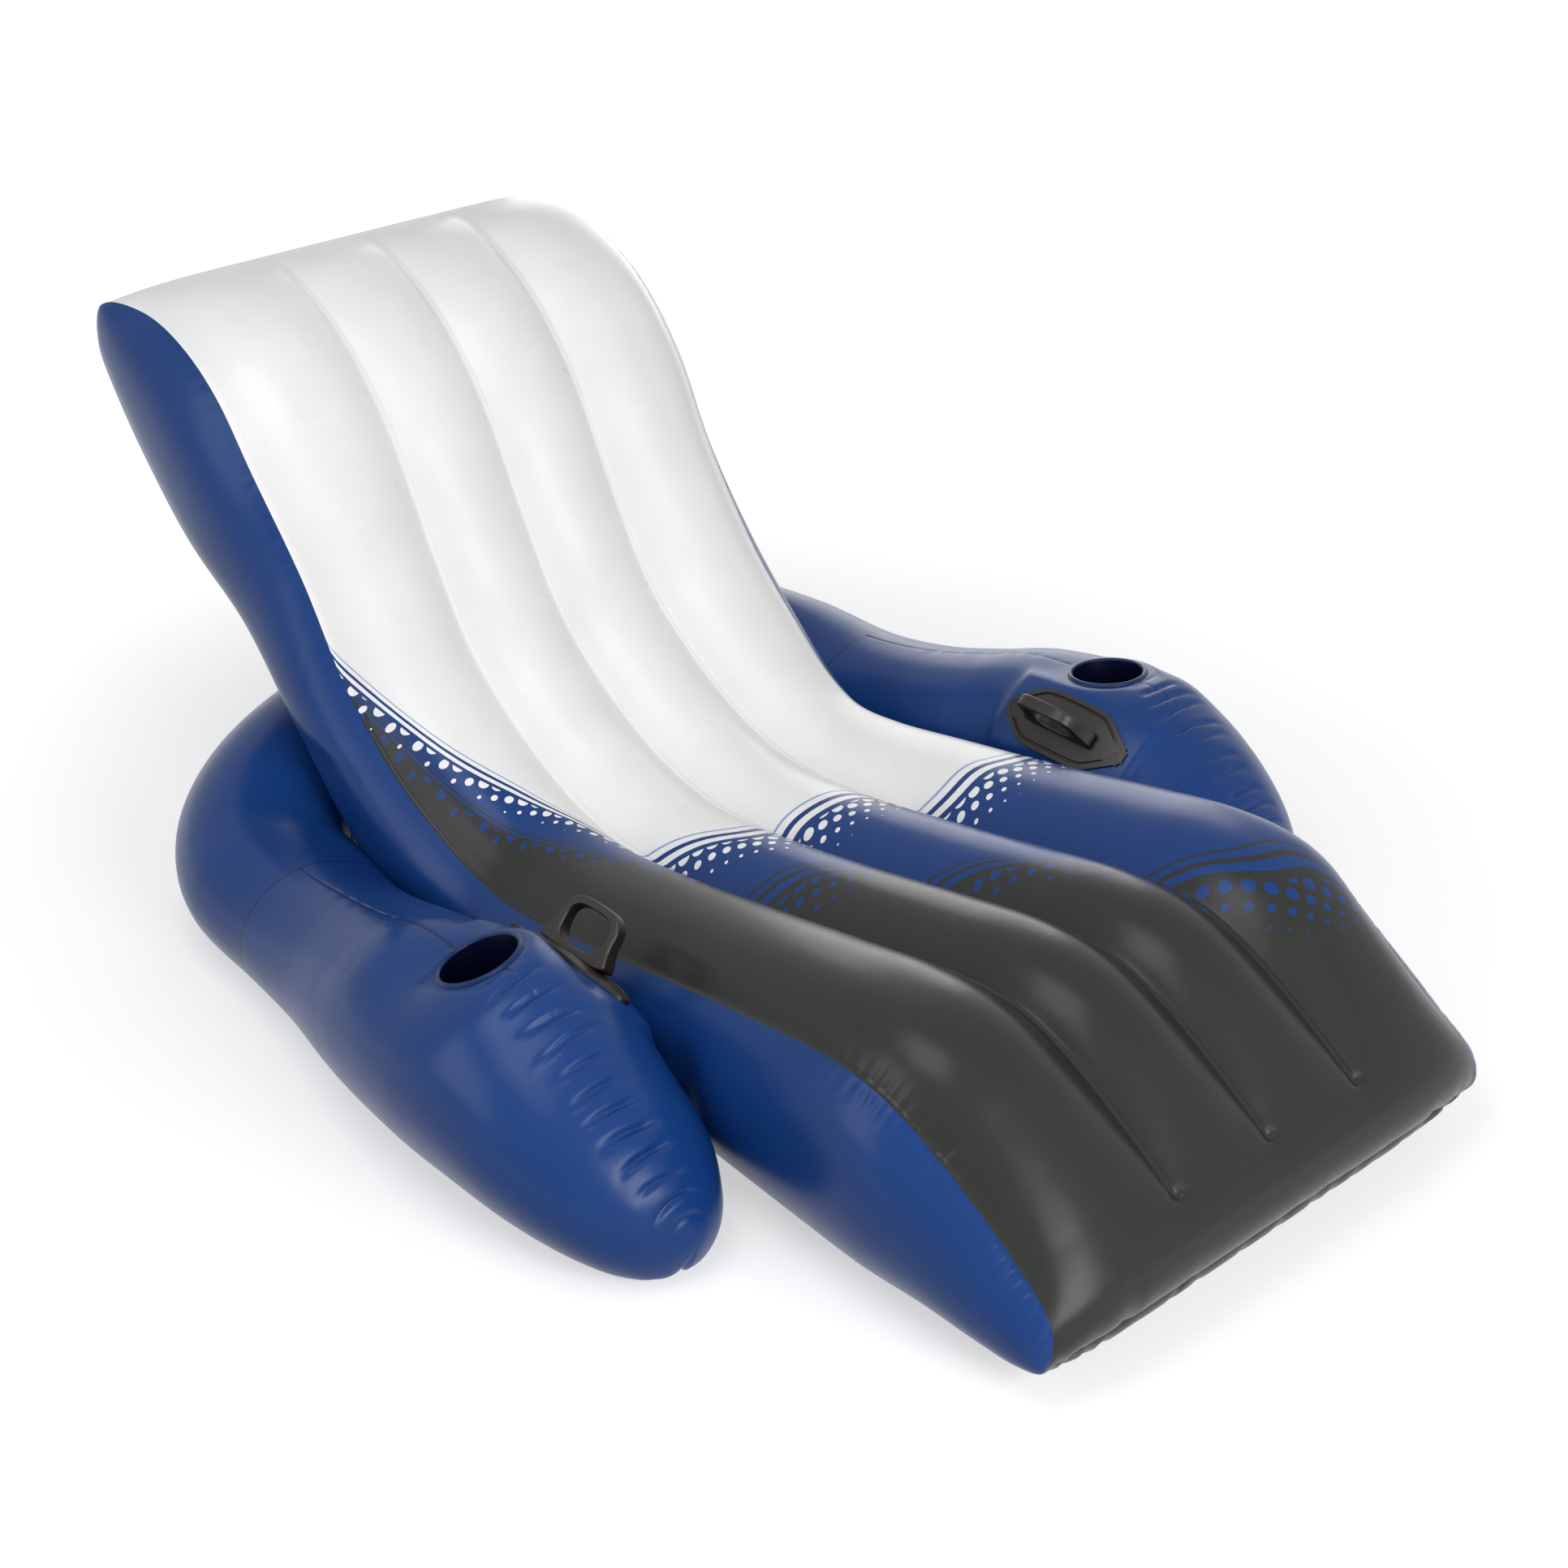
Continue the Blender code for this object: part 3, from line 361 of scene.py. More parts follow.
SEAT_DEPTH, SEAT_RADIUS, SEAT_FADE, SEAT_HEIGHT = 2.1 * MM, 0.019, 0.030, 0.030
VALVE_OPENING, VALVE_CUT = 0.0115, 0.0185
CUT_HEIGHT, CUT_MARGIN = 0.020, 1.16


def valve_seat(name):
    """Place and outward direction of the seat under a valve's flange."""
    middles = []
    for part in ("_flange", "_stem"):
        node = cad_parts[name + part]
        spots = [node.matrix_world @ vert.co for vert in node.data.vertices]
        middles.append(sum(spots, Vector()) / len(spots))
    axis = (middles[0] - middles[1]).normalized()
    return middles[0] + axis * SEAT_DEPTH, axis


def drawn_to_valve(points, seat):
    """Points of a sheet that lies flat under a valve's flange and leaves it over 3 cm around."""
    place, axis = np.array(seat[0]), np.array(seat[1])
    height = (points - place) @ axis
    beyond = np.linalg.norm(points - place - height[..., None] * axis, axis=-1) - SEAT_RADIUS
    share = np.exp(-(np.maximum(beyond, 0) / SEAT_FADE)**2) * (np.abs(height) < SEAT_HEIGHT)
    return points - (share * height)[..., None] * axis


def open_round(sheet, seat, radius, reach, merge=None):
    """Cut a round opening in a sheet, on an axis: the faces within reach go, and the edge that they
    leave is drawn to the radius. Points closer together than the merge distance are joined first."""
    place, axis = seat
    cut = bmesh.new()
    cut.from_mesh(sheet.data)
    if merge:
        bmesh.ops.remove_doubles(cut, verts=cut.verts, dist=merge)

    def from_axis(spot):
        away = spot - place
        height = away.dot(axis)
        return (away - axis * height).length if abs(height) < CUT_HEIGHT else 1.0

    hole = [face for face in cut.faces if all(from_axis(v.co) < reach for v in face.verts)]
    bmesh.ops.delete(cut, geom=hole, context="FACES")
    for vert in cut.verts:
        if vert.is_boundary and from_axis(vert.co) < reach * CUT_MARGIN:
            away = vert.co - place
            away -= axis * away.dot(axis)
            vert.co = place + away.normalized() * radius
    cut.to_mesh(sheet.data)
    cut.free()


# The CAD valves are put in their places before they are measured
bpy.context.view_layer.update()
stations, row_way = row_stations(LOUNGE_ROWS + 1)
top_length = row_way[-1]
half_width = HALF_WIDTH * smooth(WIDTH_SHARES, stations)
swell = np.sqrt(eased(np.minimum(stations, LAST_STATION - stations) / END_SWELL))
held = (eased((stations - WELD_START + 0.5) / TOE_FADE) * eased((WELD_END - stations) / HEAD_FADE)
        * (HEAD_HOLD + (1 - HEAD_HOLD) * eased((HOLD_END - stations) / HOLD_FADE)))
creased = (eased((stations - WELD_START) / WELD_TIP) * eased((CREASE_END - stations) / HEAD_FADE)
           * (1 - CREASE_LOSS * np.where(stations < SEAT_STATION, held, 1)))
weld_height = WELD_RISE * smooth(WELD_RISE_SHARES, stations)
bent = np.sin(np.linspace(-0.5, 0.5, CHANNEL_COLUMNS + 1) * math.pi)
channel = np.append(np.repeat(np.arange(4), CHANNEL_COLUMNS), 3)
place = np.append(np.tile(bent[:-1], 4), 1.0)
weld_end_along = float(np.interp(WELD_START + WELD_TIP, stations, row_way))
edge_of = np.stack([-half_width, *(np.full_like(half_width, weld) for weld in WELDS), half_width],
                   axis=1)
left_edge, right_edge = edge_of[:, channel], edge_of[:, channel + 1]
lounge_x = left_edge + (right_edge - left_edge) * (place + 1) / 2
flat_share = 1 - 2 * WELD_HALF_WIDTH / WELD_SPACING
fullness = np.where((channel == 0) & (place < 0) | (channel == 3) & (place > 0), 3.0, 2.2)
crown_shape = np.clip(1 - (np.abs(place) / flat_share)**fullness, 0, 1)


def sheet_points(shares, side, crown, edge_crown, weld):
    """Grid of points of the lounge's top or under sheet."""
    edges = np.stack([0 * weld, weld, weld, weld, 0 * weld], axis=1)
    first, second = edges[:, channel], edges[:, channel + 1]
    base = first + (second - first) * (place + 1) / 2
    crowns = np.where((channel == 0) | (channel == 3), edge_crown, crown)
    welded = base + crowns * crown_shape
    free = PILLOW_RISE * (1 - (lounge_x / half_width[:, None])**8)
    rise = (held[:, None] * welded + (1 - held[:, None]) * free) * swell[:, None]
    to_weld = np.min(np.abs(lounge_x[..., None] - WELDS), axis=2)
    groove = np.exp(-np.maximum(to_weld - WELD_HALF_WIDTH, 0) / CREASE_REACH)
    rise -= creased[:, None] * CREASE_DEPTH * groove * swell[:, None]
    spots = seam_line(shares, stations)[:, None] + rise[..., None] * seam_out(
        shares, stations, side)[:, None]
    points = np.concatenate([lounge_x[..., None], spots], axis=2)
    points[..., 2] = np.maximum(points[..., 2], 0)
    points[..., 1] -= SETBACK
    return points


PVC_IOR = 1.53


def vinyl(name, code, roughness, ink=None):
    """Calendered PVC film: a smooth skin with a faint grain, soft highlights and a slight sheen."""
    material, tree, shader = new_material(name, {"IOR": PVC_IOR, "Specular IOR Level": 0.2})
    places = add(tree, "TexCoord").outputs["Object"]
    # Slow drift in the tone of the pigment, over about 12 cm
    drift = add(tree, "TexNoise", {"Vector": places, "Scale": 8.0, "Detail": 2.0})
    tone = add(tree, "MapRange", {"Value": drift, "To Min": 0.93, "To Max": 1.07})
    base = ink(tree) if ink else colour(code)[:3]
    mixed = add(tree, "VectorMath", {0: base, "Scale": tone}, operation="SCALE")
    # A pressed weld 3 mm wide, with painted shade: the base colour is darker there, where a seam shows
    # as a line, for the shade in its crease
    to_seam = add(tree, "Attribute", attribute_name="to_seam").outputs["Fac"]
    beyond = add(tree, "MapRange", {"Value": to_seam, "From Min": 1.0 * MM, "From Max": 2.0 * MM,
                                    "To Min": 0.45, "To Max": 1.0})
    seam_shaded = add(tree, "VectorMath", {0: mixed, "Scale": beyond}, operation="SCALE")
    tree.links.new(seam_shaded.outputs[0], shader.inputs["Base Color"])
    # The film's grain is about 0.5 mm, drawn at 3 mm so that it shows
    grain = add(tree, "TexNoise", {"Vector": places, "Scale": 330.0, "Detail": 1.0})
    slack = add(tree, "TexNoise", {"Vector": places, "Scale": 26.0, "Detail": 2.0})
    fine = add(tree, "Bump", {"Height": grain, "Strength": 0.05, "Distance": 0.6 * MM})
    broad = add(tree, "Bump", {"Height": slack, "Strength": 0.25, "Distance": 1.2 * MM,
                               "Normal": fine})
    tree.links.new(broad.outputs[0], shader.inputs["Normal"])
    gloss = add(tree, "MapRange", {"Value": slack, "To Min": roughness - 0.04,
                                   "To Max": roughness + 0.04})
    tree.links.new(gloss.outputs[0], shader.inputs["Roughness"])
    return material


WHITE_INK, BLUE_INK, CHARCOAL_INK = "F1F1F1", "143B79", "2B2D2B"
# The second colour here paints the shade in the creases at the welds' edges
PALE_BLUE_INK, CREASE_SHADE_INK = "8FA6CF", "14151A"
CLIMB_WIDTH, CLIMB = 0.36, 0.50
LINE_FROM_WELD, LINE_HALF_WIDTH = 4.0 * MM, 0.8 * MM


def print_design(tree):
    """Printed wave bands in the flat cut: charcoal leg rest, royal blue band, white seat and back,
    with thin lines and rows of dots that shrink away from each edge."""
    cut = add(tree, "UVMap", uv_map="cut")
    across, along = add(tree, "SeparateXYZ", (cut,)).outputs[:2]

    def step(operation, *inputs, kind="Math"):
        """A node that works on its inputs, which are numbers, or vectors where the kind says so."""
        return add(tree, kind, inputs, operation=operation)

    # The bands climb towards the sitter's right
    rightward = step("MAXIMUM", step("MULTIPLY", across, -1 / CLIMB_WIDTH), 0.0)
    climb = step("MULTIPLY", step("POWER", rightward, 3.0), CLIMB)

    def past(level, slope, waves):
        """Distance along the cut past a wavy edge."""
        edge = step("ADD", step("MULTIPLY_ADD", across, slope, level), climb)
        for length, height, start in waves:
            angle = step("MULTIPLY_ADD", across, 2 * math.pi / length, start)
            edge = step("ADD", edge, step("MULTIPLY", step("SINE", angle), height))
        return step("SUBTRACT", along, edge)

    def dots(pitch, size, fade, distance):
        """1 inside dots that shrink from a full size to nothing over a distance from the edge."""
        turned = add(tree, "VectorRotate", {"Vector": cut, "Angle": math.radians(45)},
                     rotation_type="Z_AXIS")
        cells = add(tree, "VectorMath", {0: turned, "Scale": 1 / pitch}, operation="SCALE")
        inside = step("FRACTION", cells, kind="VectorMath")
        offset = step("SUBTRACT", inside, (0.5, 0.5, 0.0), kind="VectorMath")
        flat = step("MULTIPLY", offset, (1, 1, 0), kind="VectorMath")
        radius = step("LENGTH", flat, kind="VectorMath").outputs["Value"]
        return step("LESS_THAN", radius, step("MULTIPLY_ADD", distance, -size / fade, size))

    def laid_over(mask, under, over):
        """One ink over another where the mask is 1."""
        inks = [colour(ink) if isinstance(ink, str) else ink for ink in (under, over)]
        return add(tree, "Mix", {"Factor": mask, 6: inks[0], 7: inks[1]}, data_type="RGBA").outputs[2]

    white_side = past(0.865, -0.45, ((0.30, 0.026, 0.4), (0.113, 0.007, 1.9)))
    blue_side = past(0.585, -1.10, ((0.36, 0.030, 2.2), (0.127, 0.008, 0.2)))
    ink = CHARCOAL_INK
    for side, filled, start, pitch, size, fade, lines in (
            (blue_side, BLUE_INK, 0.012, 0.021, 0.44, 0.105,
             ((0.014, 0.022, CHARCOAL_INK), (0.034, 0.038, CHARCOAL_INK))),
            (white_side, WHITE_INK, 0.010, 0.019, 0.46, 0.085,
             ((0.012, 0.021, BLUE_INK), (0.033, 0.037, PALE_BLUE_INK)))):
        before = step("MULTIPLY", side, -1.0)
        dotted = step("MULTIPLY", dots(pitch, size, fade, before),
                      step("GREATER_THAN", before, start))
        ink = laid_over(dotted, ink, filled)
        ink = laid_over(step("GREATER_THAN", side, 0.0), ink, filled)
        for low, high, line_ink in lines:
            between = step("MULTIPLY", step("GREATER_THAN", side, low), step("LESS_THAN", side, high))
            ink = laid_over(between, ink, line_ink)
    # Pressed welds 150 mm apart: a band 8 mm wide between two dark lines of painted shade, for the
    # creases at its edges, fainter on the white ink
    spacings = step("MULTIPLY", across, 1 / WELD_SPACING)
    from_weld = step("ABSOLUTE", step("SUBTRACT", spacings, step("ROUND", spacings)))
    inner = step("LESS_THAN", step("ABSOLUTE", across), 1.5 * WELD_SPACING)
    welded = step("MULTIPLY", inner, step("GREATER_THAN", along, weld_end_along))
    from_shade_line = step("ABSOLUTE", step("SUBTRACT", from_weld, LINE_FROM_WELD / WELD_SPACING))
    shade_line = step("MULTIPLY", step("LESS_THAN", from_shade_line, LINE_HALF_WIDTH / WELD_SPACING), welded)
    depth = step("MULTIPLY_ADD", step("GREATER_THAN", white_side, 0.0), -0.45, 0.55)
    return laid_over(step("MULTIPLY", shade_line, depth), ink, CREASE_SHADE_INK)


FILM_ROUGHNESS = 0.29
TOE_INK_END = 0.17


def toe_print(tree):
    """Charcoal ink that carries on from the leg rest round under the toe."""
    along = add(tree, "SeparateXYZ", (add(tree, "UVMap", uv_map="cut"),)).outputs[1]
    past_toe = add(tree, "Math", (along, TOE_INK_END), operation="GREATER_THAN")
    return add(tree, "Mix", {"Factor": past_toe, 6: colour(CHARCOAL_INK), 7: colour(BLUE_INK)},
               data_type="RGBA").outputs[2]


printed_vinyl = vinyl("printed_pvc_film", None, FILM_ROUGHNESS, print_design)
blue_vinyl = vinyl("royal_blue_pvc_film", BLUE_INK, FILM_ROUGHNESS)
toe_vinyl = vinyl("toe_printed_pvc_film", None, FILM_ROUGHNESS, toe_print)

top_points = sheet_points(TOP_SEAM_SHARES, 1, TOP_CROWN, EDGE_CROWN, weld_height)
cut_along = np.repeat(row_way[:, None], len(place), axis=1)
from_right = lounge_x + half_width[:, None]
from_left = half_width[:, None] - lounge_x
KNEE_GATHERS = ((0.205, 0.42),)
HEAD_GATHERS = ((1.30, 2.02),)
top_dents = gathers(cut_along, from_right, KNEE_GATHERS, 0.018, 2.8 * MM, 0.034, 3, held=5 * MM)
top_dents += gathers(cut_along, from_left, KNEE_GATHERS, 0.018, 2.8 * MM, 0.034, 4, held=5 * MM)
top_dents += gathers(cut_along, from_right, HEAD_GATHERS, 0.022, 1.0 * MM, 0.016, 5)
top_dents += gathers(cut_along, from_left, HEAD_GATHERS, 0.022, 1.0 * MM, 0.016, 6)
TOE_GATHERS = ((-0.352, -0.23), (0.24, 0.352))
TOE_EDGE, UNDER_TOE_FADE = 0.035, 2.2


def toe_gathers(way_up):
    """Puckers of the toe: deepest at its lower edge, and they run up the front."""
    past_edge = way_up + TOE_EDGE
    away = np.where(past_edge > 0, past_edge, -UNDER_TOE_FADE * past_edge)
    return (gathers(lounge_x, away, TOE_GATHERS, 0.030, 9.0 * MM, 0.110, 7, held=0)
            + gathers(lounge_x, away, ((-0.22, 0.23),), 0.048, 3.0 * MM, 0.080, 9, held=0))


top_dents += gathers(lounge_x, top_length - cut_along, ((-0.35, 0.35),), 0.024, 1.6 * MM, 0.040, 8)
TIP_DIP, TIP_REACH = 2.0 * MM, 6.0 * MM
for weld_x in WELDS:
    spread = np.hypot(lounge_x - weld_x, cut_along - weld_end_along)
    top_dents += TIP_DIP * np.exp(-(spread / TIP_REACH)**2)
top_points -= top_dents[..., None] * surface_normals(top_points, (0, -1, 3))
top_points[..., 1] += toe_gathers(cut_along)
lounge_top = film("lounge_top", top_points, printed_vinyl, (0, -1, 3), lounge_x, cut_along)
finish_film(lounge_top, "lounge_top_panel")

under_points = sheet_points(UNDER_SEAM_SHARES, -1, UNDER_CROWN, UNDER_CROWN, 0 * weld_height)
under_points[..., 1] += toe_gathers(-cut_along)
under_points = drawn_to_valve(under_points, valve_seat("back_valve"))
lounge_under = film("lounge_under", under_points[::2], toe_vinyl, (0, 0.5, -3), lounge_x[::2],
                    cut_along[::2])
open_round(lounge_under, valve_seat("back_valve"), VALVE_OPENING, VALVE_CUT)
finish_film(lounge_under, "lounge_under_panel")


def gusset_points(side):
    """Grid of points of a side panel, from its top seam to its under seam."""
    share = (1 - np.cos(np.linspace(0, math.pi, GUSSET_COLUMNS + 1))) / 2
    top, under = seam_line(TOP_SEAM_SHARES, stations), seam_line(UNDER_SEAM_SHARES, stations)
    spots = top[:, None] + (under - top)[:, None] * share[None, :, None]
    thickness = np.linalg.norm(under - top, axis=1)
    full = (GUSSET_SHARE - BACK_LESS * eased((stations - BACK_STATION) / 2)) * thickness
    crown = full / (1 + (full / GUSSET_CROWN)**4)**0.25
    bulge = crown[:, None] * (1 - np.abs(2 * share - 1)**2.4)
    x = half_width[:, None] + bulge
    y, z = spots[..., 0], spots[..., 1]
    beside_tube = (eased((y - NOSE_Y) / 0.16) * eased((0.34 - z) / 0.10)
                   * eased((REAR_Y + 0.08 - y) / 0.12))
    # Pressed flat against the tube, with a soft edge round the contact
    limit = CONTACT + FREE_SPACE * (1 - beside_tube)
    x = -PRESS_EDGE * np.logaddexp(-x / PRESS_EDGE, -limit / PRESS_EDGE)
    return np.stack([side * x, y - SETBACK, z], axis=2)


SIDES = {"left": 1, "right": -1}
for side_name, side in SIDES.items():
    points = gusset_points(side)
    along = np.repeat(cut_along[:, :1], GUSSET_COLUMNS + 1, axis=1)
    from_top = distance_along(points, 1)
    from_under = from_top[:, -1:] - from_top
    dents = gathers(along, from_top, KNEE_GATHERS, 0.018, 2.8 * MM, 0.046, 4 if side > 0 else 3,
                    held=5 * MM)
    dents += gathers(along, from_top, ((0.03, 0.18),), 0.020, 2.4 * MM, 0.036, 12)
    dents += gathers(along, from_top, ((1.35, 2.02),), 0.024, 1.2 * MM, 0.022, 13)
    dents += gathers(along, from_under, ((0.02, 0.20),), 0.018, 1.8 * MM, 0.024, 14)
    outside = (side * 3, 0, 0.3)
    points -= dents[..., None] * surface_normals(points, outside)
    gusset = film("gusset_sheet_" + side_name, points, blue_vinyl, outside, from_top, along)
    finish_film(gusset, "gusset_" + side_name)

# Arms and crescent: one U-shaped air tube of the same blue film. Each arm is two sheets, welded
# along its top, nose and underside, and the crescent behind the back is an upper and a lower sheet.
# The weld gathers into a ladder of short puckers where it runs down over the nose.
ARM_WIDTH = 0.284
ARM_HEIGHT = 0.281
ARM_LEAN = 0.012
CRESCENT_HEIGHT = 0.250
CRESCENT_WIDTH = 0.270
TUBE_CONTACT = CONTACT + 1.0 * MM
REST_SPACE = 0.006
BACK_THICKNESS = 0.150
ARM_SHARES = (
    (0.000, 0.00, 0.180, 0.180, 0.76), (0.017, 0.34, 0.360, 0.020, 0.49),
    (0.053, 0.57, 0.500, -0.035, 0.32), (0.105, 0.75, 0.630, -0.045, 0.18),
    (0.178, 0.88, 0.765, -0.045, 0.09), (0.257, 0.96, 0.880, -0.045, 0.03),
    (0.349, 1.00, 0.970, -0.045, 0.00), (0.454, 1.00, 0.970, -0.045, 0.00),
    (0.599, 0.95, 0.880, -0.045, 0.00), (0.717, 0.88, 0.770, -0.045, 0.00),
    (0.849, 0.79, 0.670, -0.045, 0.00), (1.000, 0.73, 0.610, -0.045, 0.00),
)
ARM_PLACES = (0, 0.7, 1.4, 2.2, 3.0, 3.8, 4.6, 5.2, 5.85, 6.4, 6.95, 7.5, 8.2, 9, 10, 11)
ARM_ROWS = len(ARM_PLACES) - 1
CRESCENT_ROWS = 12
CRESCENT_SQUARENESS = 3.0
FREE_BULGE = 0.026
AROUND = 16
PRESSED_SHARE = math.cos(math.pi / 8)
CUP_Y = NOSE_Y + 0.332
CUP_X, CUP_HEIGHT, CUP_LEAN = CONTACT + 0.141, 0.262, math.radians(8)
CUP_REACH, CUP_FADE = 0.060, 0.070
RIM_LEAN_SHARES = {"left": (0.03, 0.14), "right": (-0.22, 0.30)}
HANDLE_REACH, HANDLE_FADE = 0.030, 0.130
HANDLE_Y = NOSE_Y + 0.308
HANDLE_X, HANDLE_HEIGHT, HANDLE_TILT = CONTACT + 0.029, 0.230, math.radians(46)


def cup_plane(side):
    """Point and normal of the flat round a cup well."""
    return (np.array([side * CUP_X, CUP_Y, CUP_HEIGHT]),
            np.array([0.0, math.sin(CUP_LEAN), math.cos(CUP_LEAN)]))


def rim_plane(side):
    """Point and normal of the cup's rim, which the film's tension leans further than the well."""
    lean = RIM_LEAN_SHARES["left" if side > 0 else "right"]
    return np.array([side * CUP_X, CUP_Y, CUP_HEIGHT]), np.array(
        [*lean, math.sqrt(1 - lean[0]**2 - lean[1]**2)])


def handle_plane(side):
    """Point and normal of the flat under a grab handle."""
    return (np.array([side * HANDLE_X, HANDLE_Y, HANDLE_HEIGHT]),
            np.array([-side * math.cos(HANDLE_TILT), 0.0, math.sin(HANDLE_TILT)]))


def on_flat(point, plane, reach, fade):
    """The point, moved onto a flat within a reach along the arm, and less and less beyond."""
    origin, normal = plane
    share = eased(1 - (abs(point[1] - origin[1]) - reach) / fade)
    return point - share * np.dot(point - origin, normal) * normal


def arm_section(spot):
    """Centre, outward direction, half width, top and underside of an arm at one row."""
    along, half, top, under, step = smooth(ARM_SHARES, spot)
    half = max(half, 0.0) * ARM_WIDTH / 2
    centre = np.array([TUBE_CONTACT + half * PRESSED_SHARE + step * ARM_WIDTH / 2,
                       NOSE_Y + along * TUBE_LENGTH])
    return centre, np.array([1.0, 0.0]), half, top * ARM_HEIGHT, under * ARM_HEIGHT


def crescent_section(share):
    """The same for the left half of the crescent, from its arm (0) to its middle (1)."""
    centre, _, half, top, under = arm_section(len(ARM_SHARES) - 1)
    turn, power = share * math.pi / 2, 2 / CRESCENT_SQUARENESS
    x_share, y_share = abs(math.cos(turn))**power, math.sin(turn)**power
    out = np.array([x_share**(CRESCENT_SQUARENESS - 1) / centre[0],
                    y_share**(CRESCENT_SQUARENESS - 1) / CRESCENT_DEPTH])
    grown = eased(share)
    return (np.array([centre[0] * x_share, centre[1] + CRESCENT_DEPTH * y_share]),
            out / np.linalg.norm(out), half + (CRESCENT_WIDTH / 2 - half) * grown,
            top + (CRESCENT_HEIGHT - top) * grown, under)


back_outline = seam_line(UNDER_SEAM_SHARES, np.linspace(0, LAST_STATION, 29))


def clear_of_lounge(point):
    """The crescent's point, pushed out of the lounge where it would enter it."""
    x, spot = abs(point[0]), point[1:]
    half = HALF_WIDTH * WIDTH_SHARES[12]
    if x >= CONTACT:
        return point
    gaps = []
    for start, end in zip(back_outline, back_outline[1:]):
        length = np.linalg.norm(end - start)
        run = (end - start) / length
        share = np.clip(np.dot(spot - start, run) / length, 0, 1)
        normal = np.array([run[1], -run[0]])
        gaps.append((np.linalg.norm(spot - start - share * (end - start)),
                     np.dot(spot - start, normal), normal))
    _, gap, normal = min(gaps, key=lambda item: item[0])
    if x < half:
        need = REST_SPACE + UNDER_CROWN * min(1.0, 4 * (half - x) / half)
    else:
        side_share = math.sqrt(max(1 - (x - half) / GUSSET_CROWN, 0.0))
        need = REST_SPACE - BACK_THICKNESS / 2 * (1 - side_share)
    if gap < need:
        spot = spot + (need - gap) * normal
    return np.array([point[0], spot[0], max(spot[1], 0.0)])


def tube_point(section, step):
    """Point of the tube's skin, flat on the floor and where it leans on the lounge."""
    centre, out, half, top, under = section
    turn = 2 * math.pi * step / AROUND
    middle, reach = (top + under) / 2, (top - under) / 2
    lean = ARM_LEAN * 2 * half / ARM_WIDTH
    x, y = centre + out * (half * math.cos(turn) + lean * math.sin(turn))
    point = np.array([x, y, max(middle + reach * math.sin(turn), 0.0)])
    if centre[1] > NOSE_Y + TUBE_LENGTH + VINYL:
        return clear_of_lounge(point)
    point[0] = max(x, TUBE_CONTACT)
    by_cup = on_flat(point, cup_plane(1), CUP_REACH, CUP_FADE)
    by_handle = on_flat(point, handle_plane(1), HANDLE_REACH, HANDLE_FADE)
    return {3: by_cup, 4: by_cup, 5: (by_handle + by_cup) / 2, 6: by_handle,
            7: by_handle}.get(step, point)


def tube_net():
    """Net of points on the left half of the tube, from the arm's nose to the crescent's middle and
    on past it, with a row before the nose that mirrors the first ring."""
    sections = [arm_section(spot) for spot in ARM_PLACES]
    half_rows = CRESCENT_ROWS // 2
    sections += [crescent_section(row / half_rows) for row in range(1, half_rows + 1)]
    net = np.array([[tube_point(section, step) for step in range(AROUND)]
                    for section in sections])
    past = net[-2] * (-1, 1, 1)
    before = np.roll(net[1], AROUND // 2, axis=0)
    return np.concatenate([before[None], net, past[None]])


left_net = tube_net()


def tube_surface(rows, steps):
    """Grid of points on the tube, smooth through the net both ways."""
    ring = np.stack([smooth(left_net[:, step % AROUND], rows + 1) for step in range(-3, AROUND + 3)],
                    axis=1)
    spots = np.asarray(steps) + 3
    low = np.clip(np.floor(spots).astype(int), 1, ring.shape[1] - 3)
    part = (spots - low)[None, :, None]
    return curve_between(part, *(ring[:, low + k] for k in (-1, 0, 1, 2)))


PLATE_LENGTH, PLATE_WIDTH, PLATE_HEIGHT = 0.204, 0.088, 0.003
PLATE_BEND, PLATE_ROLL = 0.42, 0.20
RIM_REACH = 0.056
PRESS_MARGIN, PRESS_HEIGHT, PRESS_LET_GO = 0.002, 0.090, 0.050
BULGE_PLACE, BULGE_SPREAD = (TUBE_CONTACT, REAR_Y - 0.24, 0.135), (0.035, 0.09, 0.055)


def plate_sag(lengthwise, across):
    """How far the plate's curve drops below its middle, lengthwise and across."""
    return lengthwise**2 / (2 * PLATE_BEND) + across**2 / (2 * PLATE_ROLL)


def over_flat(points, plane):
    """Height of points over a flat, and their offsets along it from its middle."""
    origin, normal = plane
    height = (points - origin) @ normal
    return height, points - origin - height[..., None] * normal


def to_plate(points, plane):
    """Height of points over the bent plate's seat, and their distance beyond its outline."""
    height, offset = over_flat(points, plane)
    across = np.linalg.norm(offset[..., [0, 2]], axis=-1)
    outside = np.stack([np.abs(offset[..., 1]) - PLATE_LENGTH / 2, across - PLATE_WIDTH / 2,
                        0 * across])
    return height + plate_sag(offset[..., 1], across), outside.max(axis=0)


def to_rim(points, plane):
    """Height of points over the cup's rim, and their distance beyond it."""
    height, offset = over_flat(points, plane)
    return height, np.maximum(np.linalg.norm(offset, axis=-1) - RIM_REACH, 0)


def pressed(points, plane, fitting, fade):
    """Points pressed onto the seat of a welded fitting, and let go over a fade around it."""
    height, beyond = fitting(points, plane)
    share = np.exp(-(np.maximum(beyond - PRESS_MARGIN, 0) / fade)**2)
    share *= eased((PRESS_HEIGHT - np.abs(height)) / PRESS_LET_GO)
    return points - (share * height)[..., None] * plane[1]


def free_bulge(points):
    """The tube swells inwards behind the seat, where the lounge no longer holds it flat."""
    share = np.exp(-np.sum(((points - BULGE_PLACE) / BULGE_SPREAD)**2, axis=2))
    return points - (share * FREE_BULGE)[..., None] * (1, 0, 0)


